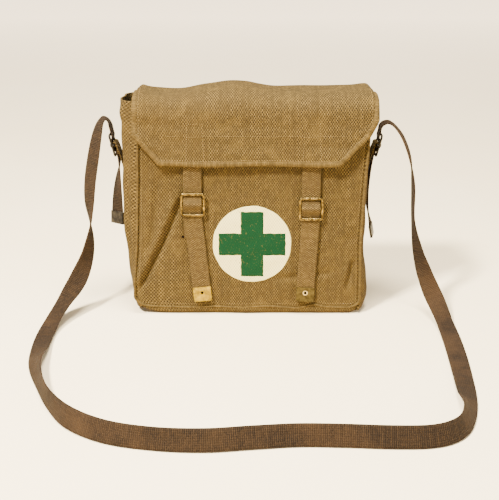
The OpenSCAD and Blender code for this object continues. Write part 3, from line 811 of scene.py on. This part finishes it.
def build_pouch():
    """Front, sides, back, foot and middle wall of the bag, with the piped seams between them."""
    canvas = finish("canvas")
    # front panel
    x, z = grid(HALF * (2 * thicker_at_ends(181, 1.25) - 1), 299.0 * thicker_at_ends(171, 1.2))
    relief = front_relief(x, z)
    wide, up = settle(x, z), z + corner_lift(x, z)
    front = shell("front_cloth", lean_point(wide, relief, up + 0.4),
                  lean_point(wide * 0.99, relief - CLOTH, up + 0.9), np.stack([x, z], -1), canvas)
    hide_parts("front_panel")
    # back panel
    x, z = grid(HALF * (2 * thicker_at_ends(61, 1.3) - 1), 286.5 * thicker_at_ends(61, 1.2) + 0.4)
    relief = back_relief(x, z) - 5 * (1 - step(z, 0, 9)) ** 2
    back = shell("back_cloth", np.stack([x, BACK + relief, z], -1),
                 np.stack([x * 0.99, BACK + relief - CLOTH, z + 0.4], -1), np.stack([x, z], -1), canvas)
    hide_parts("back_panel")
    # sides
    for side, label in SIDES:
        s, z = grid(thicker_at_ends(81, 1.3), 0.4 + 300.0 * thicker_at_ends(131, 1.2))
        front_y = FOOT + z * math.tan(LEAN) + 0.6
        y = front_y + s * (BACK - 0.6 - front_y)
        bow = side_relief(side, y, z)
        y_in = front_y + 0.8 + s * (BACK - 2.2 - front_y)
        up = z + corner_lift(side * HALF, z) * (1 - s) ** 2
        outer = np.stack([side * (HALF - 0.3 + bow), y, up], -1)
        inner = np.stack([side * (HALF - 2.6 + bow * 0.99), y_in, up + 0.3], -1)
        piece = shell("side_cloth_" + label, outer, inner, np.stack([y, z], -1), canvas)
        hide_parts("side_gusset_" + label)
    # foot
    x, y = grid(np.linspace(-HALF + 1.5, HALF - 1.5, 61), np.linspace(FOOT + 3.5, BACK - 3.5, 31))
    x = x + (settle(x, 0) - x) * (BACK - y) / (BACK - FOOT)
    sag = 0.5 + 0.5 * (np.abs(x) / 160) ** 6 + 0.3 * (1 + ripple(x, y, 60, 41))
    sag = sag + corner_lift(x, 0) * ((BACK - y) / (BACK - FOOT)) ** 2
    foot = shell("foot_cloth", np.stack([x, y, sag], -1), np.stack([x, y, sag + 2.2], -1),
                 np.stack([x, y], -1), canvas)
    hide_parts("bottom_gusset")
    # middle wall with a turned-over top
    low, high = corners("divider")
    rows = low[2] + (high[2] - low[2]) * thicker_at_ends(61, 1.2)
    x, z = grid(np.linspace(low[0] + 0.2, high[0] - 0.2, 91), rows)
    wave = 0.8 * ripple(x, z, 110, 43) * np.sin(np.pi * np.clip((z - low[2]) / 60, 0, 1) / 2)
    hem = 0.5 * step(z, high[2] - 13, high[2] - 11.5)
    mid = 0.5 * (low[1] + high[1])
    wall = shell("divider_cloth", np.stack([x, mid - 0.9 - hem + wave, z], -1),
                 np.stack([x, mid + 0.9 + hem + wave, z], -1), np.stack([x, z], -1), canvas)
    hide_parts("divider")
    # seams: a narrow piped ridge where panels meet
    z = np.linspace(297, 21, 120)
    quarter = 0.5 * math.pi * np.linspace(0.08, 0.92, 9)
    run = np.linspace(-HALF + 11, HALF - 11, 120)
    left_up = np.stack([np.full_like(z, -HALF - 0.2), z], 1)
    corner = np.stack([-HALF + 10 - 10.2 * np.cos(quarter), 20 - 9.5 * np.sin(quarter)], 1)
    base = np.stack([run, 10.4 + 3.0 * bump(run - 88, 10) - 1.4 * bump(run - 66, 9) + 0.7 * np.sin(run * 0.09)
                     + 0.5 * ripple(run, 0 * run, 40, 52)], 1)
    line = np.vstack([left_up, corner, base, corner[::-1] * [-1, 1], left_up[::-1] * [-1, 1]])
    line = evenly(np.hstack([line, 0 * line[:, :1]]), 2.0)
    u = 0.1 + 0.35 * ripple(line[:, 0], line[:, 1], 30, 51) - 0.8 * (1 - step(line[:, 1], 6, 20))
    up = line[:, 1] + corner_lift(line[:, 0], line[:, 1])
    path = lean_point(settle(line[:, 0], line[:, 1]), u, up)
    front_seam = band("front_seam", path, OUT, disc_section(2.1, 12, 0.85), finish("binding"))
    z = np.linspace(284, 12, 100)
    line = np.vstack([np.stack([np.full_like(z, -HALF), z], 1), np.stack([run, np.full_like(run, 5.5)], 1),
                      np.stack([np.full_like(z, HALF), z[::-1]], 1)])
    line = evenly(rounded(np.hstack([line, 0 * line[:, :1]]), 1), 3.0)
    points = np.stack([line[:, 0], BACK - 0.8 - 2.2 * (1 - step(line[:, 1], 3, 16)), line[:, 1]], 1)
    back_seam = band("back_seam", points, (0, 1, 0), disc_section(2.2, 10, 0.8), finish("binding"))
    # stitching beside the seams
    lines = []
    for side in (-1, 1):
        z = np.linspace(292, 12, 60)
        x = side * (HALF - 5.5) + 0 * z
        lines.append((lean_point(settle(x, z), front_relief(x, z) + 0.05, z), OUT))
    x = np.linspace(-HALF + 9, HALF - 9, 80)
    z = 15.5 + 0.4 * np.sin(x * 0.09) + 2.6 * bump(x - 88, 10)
    lines.append((lean_point(settle(x, z), front_relief(x, z) + 0.05, z + corner_lift(x, z)), OUT))
    stitches("front_stitches", lines, finish("thread"))
    lines = []
    for side in (-1, 1):
        z = np.linspace(276, 14, 60)
        x = side * (HALF - 6.5) + 0 * z
        lines.append((np.stack([x, BACK + back_relief(x, z), z], 1), (0, 1, 0)))
    x = np.linspace(-HALF + 7, HALF - 7, 80)
    lines.append((np.stack([x, BACK + back_relief(x, 13 + 0 * x), 13 + 0 * x], 1), (0, 1, 0)))
    for z0 in (276.0, 282.0):
        lines.append((np.stack([x, BACK + back_relief(x, z0 + 0 * x), z0 + 0 * x], 1), (0, 1, 0)))
    stitches("back_stitches", lines, finish("thread"))
    # needle holes left by an older row of stitches beside the left strap, and one worn hole, all drawn as
    # dark marks of painted shade
    z = np.linspace(146, 112, 12)
    old = [(lean_point(-97.5 + 0.05 * (146 - z), front_relief(-97.5, z), z), OUT)]
    stitches("needle_holes", old, finish("hole_shade"), "bag", 3.0, 1.1, 1.1)
    hole("worn_hole", lean_point(-96.5, front_relief(-96.5, 114.0), 114.0), 2.0, "bag")


# How thick the lid's cloth is, in mm: how far its inside lies within its outside
LID_CLOTH = 2.3


def build_lid():
    """The lid: a top that bends at the back seam, a flap that folds at the front edge, a stitched hem
    and the lines of thread that hold the straps."""
    canvas = finish("canvas")
    xs = LID_LEFT + (LID_RIGHT - LID_LEFT) * thicker_at_ends(181, 1.2)
    x, t = grid(xs, np.linspace(0, 1, 61))
    outer, flat = lid_back_surface(x, t)
    inner, _ = lid_back_surface(x * 0.995, t, LID_CLOTH)
    top = shell("lid_top_cloth", outer, inner, flat, canvas, None)
    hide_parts("lid_top")
    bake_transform(top)
    x, t = grid(xs, np.linspace(0, 1, 151))
    outer, flat, _ = lid_surface(x, t)
    inner, _, _ = lid_surface(x * 0.995, t, LID_CLOTH)
    flap = shell("lid_flap_cloth", outer, inner, flat, canvas, None)
    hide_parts("lid_flap")
    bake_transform(flap)

    # the turned hem along both sides and the lower edge, and a line of thread inside it
    def edge_line(inset, count):
        a, b = LID_LEFT + inset, LID_RIGHT - inset
        t_side = np.linspace(0.02, 1.0 - 0.006 * inset, count)
        side_x = 0 * t_side
        across = np.linspace(a, b, 2 * count)
        x = np.concatenate([side_x + a, across, side_x + b])
        t = np.concatenate([t_side, 0 * across + 1.0 - 0.0063 * inset, t_side[::-1]])
        return x, t

    p, _, n = lid_surface(*edge_line(2.4, 90), 1.15)
    hem = band("lid_hem", p, n, disc_section(2.1, 10, 1.0) * [0.95, 1.9], finish("binding"), None)
    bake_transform(hem)
    p, _, n = lid_surface(*edge_line(8.0, 90), -0.1)
    sewn = stitches("lid_hem_stitches", [(p, n)], finish("thread"), None, thick=0.7)
    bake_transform(sewn)

    # thread on the flap: boxes over the strap ends, lines to the hem, one row across
    def on_flap(points):
        """Points (x, z up the slope) laid on the flap."""
        q = evenly(np.hstack([np.array(points, float), np.zeros((len(points), 1))]), 2.0)
        table_t = np.linspace(0, 1, 400)
        out = []
        for a, b in q[:, :2]:
            s, _, _ = lid_surface(np.full(400, a), table_t, -0.1)
            up = (s[:, 2] * COS + (s[:, 1] - FOOT) * SIN)
            k = np.argmin(np.abs(up - b) + 1000 * (table_t < 0.2))
            out.append(s[k])
        return np.array(out)

    lines = []
    for side in (-1, 1):
        c = side * 80 + 2
        box = [(c - 10.5, 255), (c + 10.5, 255.5), (c + 10.5, 273), (c - 10.5, 272), (c - 10.5, 255)]
        lines.append((on_flap(box), OUT))
        for s in (-1, 1):
            lines.append((on_flap([(c + s * 10.8, 255), (c + s * 12.2, 224)]), OUT))
    for a, b in ((-120, -92), (-66, 68), (94, 128)):
        lines.append((on_flap([(a, 256.5), (0.5 * (a + b), 256), (b, 256.5)]), OUT))
    stitches("flap_stitches", lines, finish("thread"), "flap", gap=3.2, long=1.8, thick=0.6)


def build_emblem():
    """A round cream field with a plain green cross, rubbed into the weave of the front panel."""
    cx, cz, radius, arm, half_arm = 0.3, 102.3, 55.0, 46.8, 15.8

    def laid(x, z, lift):
        return lean_point(x, front_relief(x, z + 0.4) + lift, z + 0.8)

    u, v = grid(np.linspace(-1, 1, 91), np.linspace(-1, 1, 91))
    dx, dz = u * np.sqrt(1 - v * v / 2), v * np.sqrt(1 - u * u / 2)
    wobble = 1 + 0.006 * ripple(dx * 50, dz * 50, 16, 61)
    x, z = cx + radius * dx * wobble, cz + radius * dz * wobble
    disc = shell("cream_field", laid(x, z, 0.16), laid(x, z, -0.4), np.stack([x, z], -1), finish("cream"))
    line = np.linspace(-arm, arm, 91)
    line = np.unique(np.concatenate([line[np.abs(np.abs(line) - half_arm) > 0.6], [-half_arm, half_arm]]))

    def shape(x, z, lift):
        wave = 0.35 * ripple(x, z, 9, 67)
        return laid(cx + x + wave, cz + z + 0.35 * ripple(z, x, 9, 69), lift)

    def within(a, b):
        return (np.abs(a) < half_arm) | (np.abs(b) < half_arm)

    cross = film("green_cross", line, line, within, shape, 0.3, finish("green"))


# ---------------------------------------------------------------- straps, buckles and sling

# How a web passes over a buckle's middle bar: distance out from the surface, height from the bar
OVER = [(4.6, 13), (4.6, 11.5), (7.6, 4.5), (9.1, 3.2), (9.98, 1.5), (10.2, 0), (9.98, -1.5), (9.1, -3.2),
        (7.6, -4.5), (4.6, -11.5)]


def side_point(side, across, u, z):
    """From a side gusset's own plane to the frame. Above the sewn part the plane leans outwards."""
    across, u, z = np.broadcast_arrays(np.asarray(across, float), u, z)
    t = math.radians(SIDE_LEAN[side])
    tipped = z > SEWN_Z
    u2 = np.where(tipped, u * math.cos(t) + (z - SEWN_Z) * math.sin(t), u)
    z2 = np.where(tipped, SEWN_Z - u * math.sin(t) + (z - SEWN_Z) * math.cos(t), z)
    return np.stack([side * (SIDE[side] + u2), SIDE_Y + across, z2], -1)


def buckle(name, place, material, body, half_w=15.4, half_b=14.6, r=1.6):
    """A cast buckle: a round-cornered frame of round bar with slightly swollen long sides, and a
    middle bar dropped behind it on two short cranks. place(across, u, along) gives the points."""
    k = np.linspace(0, math.pi / 2, 9)
    c = 2.6
    corner = np.stack([half_w - c + c * np.cos(k), half_b - c + c * np.sin(k)], 1)
    loop = np.vstack([corner, corner[::-1] * [-1, 1], corner * [-1, -1], corner[::-1] * [1, -1]])
    loop = np.vstack([loop, loop[:1]])
    loop = evenly(np.hstack([loop, 0 * loop[:, :1]]), 1.3)[:-1]
    path = place(loop[:, 0], 7.6, loop[:, 1])
    t = np.arange(12) * 2 * math.pi / 12
    ring = np.stack([r * np.cos(t) * 1.12, r * np.sin(t)], 1)
    out = place(0, 1.0, 0) - place(0, 0.0, 0)
    parts = [(path, out, ring[:, ::-1], True)]
    crank = [(-half_w, 7.6), (-half_w + 0.3, 5.6), (-half_w + 1.6, 5)]
    bar = rounded(crank + [(-a, u) for a, u in reversed(crank)], 2)
    bar = evenly(np.hstack([bar, 0 * bar[:, :1]]), 1.2)
    up = place(0, 0, 1.0) - place(0, 0, 0.0)
    parts.append((place(bar[:, 0], bar[:, 1], 0 * bar[:, 0]), up, disc_section(r * 0.98, 10), False))
    piece = joined(name + "_cast", parts, material, body)
    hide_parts(name)
    return piece


def round_bar(z, ends):
    """The fold of a chape round the middle bar at height z, as (u, z) points, with its tucked end."""
    k = np.radians(np.linspace(180, -150, 23))
    return [(5 + 2.85 * c, z + 2.85 * s) for c, s in zip(np.cos(k), np.sin(k))] + ends


def build_closures():
    """The two closure straps with their buckles, the folded chapes that hold the buckles, and the
    metal tips."""
    web = finish("strap_web")
    for side, label in SIDES:
        z0 = BAR_Z[side]
        x0 = side * STRAP_X
        # strap: behind the flap, over the middle bar, then hanging free
        pts = [(x0, 4.9, 290), (x0, 4.9, z0 + 36), (x0, 4.6, z0 + 24)] + [(x0, u, z0 + dz) for u, dz in OVER]
        lean = math.tan(math.radians(TAIL_LEAN[side]))
        for dz, u in ((16, 4.7), (30, 5.0), (50, 5.1), (72, 4.8), (z0 - 44, 4.6), (z0 - 38, 4.6)):
            pts.append((x0 - side * max(0, dz - 16) * lean, u, z0 - dz))
        line = evenly(rounded(pts, 3), 1.6)
        path = lean_point(line[:, 0], line[:, 1], line[:, 2])
        turn = step(z0 - line[:, 2], 12, 40)[:, None]
        wide = unit(np.array([1.0, 0, 0]) + turn * side * lean * np.array([0, -SIN, -COS]) * -1)
        strap = band("closure_strap_%s_web" % label, path, wide, section(WEB, 2.0), web, "flap")
        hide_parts("closure_strap_" + label)
        # chape: sewn flat, then folded round the middle bar
        low = {-1: 112.0, 1: 108.0}[side]
        pts = [(1.2, low), (1.15, low + 2)] + [(1.15, z) for z in np.linspace(low + 6, z0 - 9, 8)]
        pts = rounded(pts + [(1.5, z0 - 5)] + round_bar(z0, [(2.6, z0 - 7), (2.45, z0 - 12)]), 1)
        line = evenly(np.hstack([pts, np.zeros((len(pts), 1))]), 0.9)
        path = lean_point(np.full(len(line), x0), line[:, 0], line[:, 1])
        chape = band("buckle_chape_%s_web" % label, path, (1, 0, 0), section(WEB, 1.7), web)
        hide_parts("buckle_chape_" + label)
        lines = []
        for s in (-1, 1):
            z = np.linspace(low + 2.5, z0 - 17, 14)
            lines.append((lean_point(x0 + s * 10.4, 2.1, z), OUT))
        for z in (low + 2.5, z0 - 17):
            lines.append((lean_point(np.linspace(x0 - 10.4, x0 + 10.4, 8), 2.1, z), OUT))
        stitches("chape_stitches_" + label, lines, finish("thread"), "bag", gap=3.2, long=2.2)

        def on_front(a, u, b):
            return lean_point(x0 + np.asarray(a, float), u, z0 + np.asarray(b, float))

        piece = buckle("closure_buckle_" + label, on_front, finish("buckle"), "closure_buckle_" + label)
        low, high = corners("tip_eyelet_" + label)
        middle = (low + high) / 2
        # painted shade: a dark disc in the eyelet's hole
        hole("tip_hole_" + label, middle + OUT * ((middle[1] - low[1]) / COS + 0.2), 1.9, "flap")
        # the right tip gets a darker copy of the brass, painted shade
        dress("strap_tip_" + label, "tip_bright" if side < 0 else "tip_shaded")
        dress("tip_eyelet_" + label, "tip_bright" if side < 0 else "eyelet")


def build_sling():
    """The long sling: one band from side buckle to side buckle, its ends threaded through the
    buckles to free tails with metal tips, and the chapes sewn to the sides."""
    web = finish("sling_web")
    line = along(np.array(SLING) * ([1000] * 3 + [1] * 3), 9)
    path = line[:, :3]
    roll = ripple(lengths(line)[:, None], 0, 260, 71)
    wide = unit(line[:, 3:]) + 0.03 * roll
    sling = band("sling_band", path, wide, section(WEB, 2.2), web)
    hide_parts("sling")
    for side, label in SIDES:
        top = side_point(side, 0, 4.6, SIDE_Z + 18)
        pts = [top] + [side_point(side, 0, u, SIDE_Z + dz) for u, dz in OVER]
        tail = along([p[:3] for p in TAILS[side]], 6)
        pts = np.vstack([pts, side_point(side, 0, 4.6, SIDE_Z - 13.5), tail[1:]])
        wide = np.vstack([np.tile([0.0, 1, 0], (12, 1)), along(TAILS[side], 6)[1:, 3:]])
        both = evenly(rounded(np.hstack([pts, wide]), 2), 1.5)
        end = band("sling_end_" + label, both[:, :3], both[:, 3:], section(WEB, 2.0), web)
        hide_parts("sling_loop_" + label, "sling_tail_" + label)
        # painted shade: the sling tips are brass in shade, given the dark bronze
        dress("sling_tip_" + label, "dark")
        # chape: sewn flat on the side, leaning out to the buckle
        pts = [(1.1, z) for z in np.linspace(150, 196, 9)]
        pts += [(1.1, 203.5), (1.1, 212), (1.2, 222), (1.5, 229)]
        pts += round_bar(SIDE_Z, [(2.9, 229), (2.7, 222)])
        pts = np.array([side_point(side, 0, u, z) for u, z in pts])
        both = evenly(rounded(pts, 1), 0.9)
        chape = band("side_chape_%s_web" % label, both, (0, 1, 0), section(WEB, 1.7), finish("strap_web"))
        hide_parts("side_chape_" + label)
        lines = []
        for s in (-1, 1):
            z = np.linspace(152.5, 198, 12)
            lines.append((side_point(side, s * 10.4, 2.0, z), (side, 0, 0)))
        for z in (152.5, 198.0):
            lines.append((side_point(side, np.linspace(-10.4, 10.4, 8), 2.0, z), (side, 0, 0)))
        stitches("side_stitches_" + label, lines, finish("thread"), "bag", gap=3.2, long=2.2)

        def on_side(a, u, b):
            return side_point(side, a, u, SIDE_Z + np.asarray(b, float))

        piece = buckle("side_buckle_" + label, on_side, finish("dark"), "side_buckle_" + label)


# ---------------------------------------------------------------- contents

def build_contents():
    """Rolled gauze, wrapped dressings, a tin, a bottle and scissors."""
    for k in (1, 2, 3):
        low, high = corners("gauze_roll_%d" % k)
        cx, cy = 0.5 * (low[:2] + high[:2])
        a = np.linspace(0, 2 * math.pi * 8, 400)
        r = 3.2 + (20.0 - 3.2) * a / a[-1] + 0.15 * np.sin(3 * a + k)
        phase = k * 1.7
        mid = 0.5 * (low[2] + high[2])
        path = np.stack([cx + r * np.cos(a + phase), cy + r * np.sin(a + phase),
                         mid + 0.5 * np.sin(0.8 * a + k)], 1)
        tall = high[2] - low[2] - 1.4
        top = np.array([(0.5, 0), (0.49, 0.5), (0.25, 0.5), (0, 0.5), (-0.25, 0.5), (-0.49, 0.5)])
        outline = np.vstack([top, -top]) * [tall, 1.7]
        roll = band("gauze_%d_cloth" % k, path, (0, 0, 1), outline, finish("gauze"))
        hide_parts("gauze_roll_%d" % k)
    for k in (1, 2, 3):
        low, high = corners("dressing_packet_%d" % k)
        half, mid = 0.5 * (high - low), 0.5 * (high + low)
        u, v = grid(np.linspace(-1, 1, 49), np.linspace(-1, 1, 65))

        def face(sign):
            """One side of the packet: crowned, pinched at the ends, with a dent under the tape."""
            x = half[0] * np.sign(u) * np.abs(u) ** 0.9
            z = half[2] * v
            crown = (1 - np.abs(u) ** 5) ** 0.4 * (1 - np.abs(v) ** 7) ** 0.4
            dent = 1 - 0.1 * bump(v, 0.12) - 0.06 * ripple(x, z, 34, 80 + k)
            y = sign * half[1] * (0.12 + 0.85 * crown * dent)
            pull = 1 - 0.02 * np.abs(v) ** 4
            return np.stack([mid[0] + x * pull, mid[1] + np.clip(y, -half[1], half[1]), mid[2] + z], -1)

        pad = shell("dressing_%d_wrap" % k, face(-1), face(1), np.stack([u * half[0], v * half[2]], -1),
                    finish("packet"))
        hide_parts("dressing_packet_%d" % k)
        s = np.linspace(0, 2 * math.pi, 90)[:-1]
        c, d = np.cos(s), np.sin(s)
        loop = np.stack([mid[0] + (half[0] - 0.6) * np.sign(c) * np.abs(c) ** 0.45,
                         mid[1] + (half[1] * 0.87) * np.sign(d) * np.abs(d) ** 0.6,
                         mid[2] + 0.4 * np.sin(3 * s)], 1)
        tape = band("dressing_%d_tape" % k, loop, (0, 0, 1), section(11, 0.7), finish("tape"), closed=True)
    dress("tin_base", "tin")
    dress("tin_lid", "tin")
    dress("antiseptic_bottle", "glass")
    dress("bottle_cap", "cap")
    for node in ("scissors_blade_back", "scissors_blade_front", "scissors_pivot"):
        dress(node, "steel")


# ---------------------------------------------------------------- stage

def build_stage():
    """A pale floor that glows more towards the back as painted light, soft light from both sides and above,
    and the camera.
    """
    scene = bpy.context.scene
    floor = bpy.data.meshes.new("floor")
    floor.from_pydata([(-14, -6, 0), (14, -6, 0), (14, 24, 0), (-14, 24, 0)], [], [(0, 1, 2, 3)])
    material, shader, add, links = tree("pale_floor")
    place = add("ShaderNodeTexCoord").outputs["Object"]
    soft = noise(add, place, 3.0, 4.0)
    pale = tint(add, spread(add, soft, 0.3, 0.7), (0.98, 0.83, 0.55), (0.96, 0.8, 0.5))
    links.new(pale, shader.inputs["Base Color"])
    shader.inputs["Roughness"].default_value = 0.9
    # painted light: the floor glows, faintly near the bag and more strongly further back
    shader.inputs["Emission Color"].default_value = (1.0, 0.8, 0.55, 1)
    far = add("ShaderNodeSeparateXYZ", None, Vector=place).outputs[1]
    links.new(spread(add, far, 0.5, 4.0, 0.1, 3.2), shader.inputs["Emission Strength"])
    floor.materials.append(material)
    ground = bpy.data.objects.new("floor", floor)
    scene.collection.objects.link(ground)

    def light(name, where, at, size, power, colour):
        data = bpy.data.lights.new(name, "AREA")
        data.shape = "RECTANGLE"
        data.size, data.size_y = size
        data.energy = power
        data.color = colour
        lamp = bpy.data.objects.new(name, data)
        lamp.location = where
        way = Vector(at) - Vector(where)
        lamp.rotation_euler = way.to_track_quat("-Z", "Y").to_euler()
        scene.collection.objects.link(lamp)

    light("overhead", (0.1, -0.3, 2.2), (0, -0.05, 0.1), (0.7, 0.6), 118, (1.0, 0.96, 0.88))
    light("left", (-0.95, -1.15, 2.05), (0, -0.05, 0.15), (0.3, 0.3), 275, (1.0, 0.95, 0.87))
    light("right", (1.9, -1.0, 1.0), (0, -0.05, 0.15), (0.9, 1.1), 28, (1.0, 0.93, 0.84))
    world = bpy.data.worlds.new("soft_room")
    world.use_nodes = True
    background = world.node_tree.nodes["Background"]
    background.inputs["Color"].default_value = (1.0, 0.93, 0.83, 1)
    background.inputs["Strength"].default_value = 0.36
    scene.world = world

    data = bpy.data.cameras.new("front_camera")
    data.sensor_fit = "HORIZONTAL"
    data.sensor_width = 36
    data.lens = 70
    camera = bpy.data.objects.new("front_camera", data)
    camera.location = (0, -1.341, 0.5447)
    camera.rotation_euler = (math.radians(90 - 19.28), 0, math.radians(0.15))
    scene.collection.objects.link(camera)
    scene.camera = camera


# ---------------------------------------------------------------- add-on

def tone(name, about, value):
    """A colour setting in linear values."""
    return bpy.props.FloatVectorProperty(name=name, description=about, size=3, subtype="COLOR", default=value)


class SatchelColours(bpy.types.PropertyGroup):
    """Cloth and paint colours of the satchel."""
    canvas: tone("Canvas", "Colour of the bag's cloth", (0.158, 0.097, 0.023))
    strap: tone("Straps", "Colour of the closure webbing", (0.165, 0.1, 0.026))
    sling: tone("Sling", "Colour of the sling webbing", (0.04, 0.022, 0.009))
    disc: tone("Field", "Colour of the round field", (0.85, 0.73, 0.3))
    cross: tone("Cross", "Colour of the cross", (0.001, 0.034, 0.01))


class SATCHEL_OT_pouch(bpy.types.Operator):
    """Build the pouch's canvas panels and seams"""
    bl_idname = "satchel.pouch"
    bl_label = "Pouch"

    def execute(self, context):
        build_pouch()
        return {"FINISHED"}


class SATCHEL_OT_lid(bpy.types.Operator):
    """Build the lid, its flap, hem and stitching"""
    bl_idname = "satchel.lid"
    bl_label = "Lid"

    def execute(self, context):
        build_lid()
        return {"FINISHED"}


class SATCHEL_OT_emblem(bpy.types.Operator):
    """Build the painted field and cross on the front"""
    bl_idname = "satchel.emblem"
    bl_label = "Emblem"

    def execute(self, context):
        build_emblem()
        return {"FINISHED"}


class SATCHEL_OT_closures(bpy.types.Operator):
    """Build the closure straps, their buckles and chapes"""
    bl_idname = "satchel.closures"
    bl_label = "Closures"

    def execute(self, context):
        build_closures()
        return {"FINISHED"}


class SATCHEL_OT_sling(bpy.types.Operator):
    """Build the sling with its side buckles and tails"""
    bl_idname = "satchel.sling"
    bl_label = "Sling"

    def execute(self, context):
        build_sling()
        return {"FINISHED"}


class SATCHEL_OT_contents(bpy.types.Operator):
    """Build what the satchel holds"""
    bl_idname = "satchel.contents"
    bl_label = "Contents"

    def execute(self, context):
        build_contents()
        return {"FINISHED"}


class SATCHEL_OT_stage(bpy.types.Operator):
    """Set up the floor, lights and camera"""
    bl_idname = "satchel.stage"
    bl_label = "Stage"

    def execute(self, context):
        build_stage()
        return {"FINISHED"}


class SATCHEL_PT_panel(bpy.types.Panel):
    """Sidebar panel with the colours and one button for each group"""
    bl_idname = "SATCHEL_PT_panel"
    bl_label = "Satchel"
    bl_space_type = "VIEW_3D"
    bl_region_type = "UI"
    bl_category = "Satchel"

    def draw(self, context):
        colours = context.scene.satchel_colours
        for name in ("canvas", "strap", "sling", "disc", "cross"):
            self.layout.prop(colours, name)
        for name in ("stage", "sling", "pouch", "lid", "emblem", "closures", "contents"):
            self.layout.operator("satchel." + name)


CLASSES = (SatchelColours, SATCHEL_OT_stage, SATCHEL_OT_sling, SATCHEL_OT_pouch, SATCHEL_OT_lid,
           SATCHEL_OT_emblem, SATCHEL_OT_closures, SATCHEL_OT_contents, SATCHEL_PT_panel)


def register():
    for item in CLASSES:
        bpy.utils.register_class(item)
    bpy.types.Scene.satchel_colours = bpy.props.PointerProperty(type=SatchelColours)


def unregister():
    del bpy.types.Scene.satchel_colours
    for item in reversed(CLASSES):
        bpy.utils.unregister_class(item)


def main():
    register()
    bpy.ops.satchel.stage()
    bpy.ops.satchel.sling()
    bpy.ops.satchel.pouch()
    bpy.ops.satchel.lid()
    bpy.ops.satchel.emblem()
    bpy.ops.satchel.closures()
    bpy.ops.satchel.contents()
    bpy.context.view_layer.update()


if __name__ == "__main__":
    main()
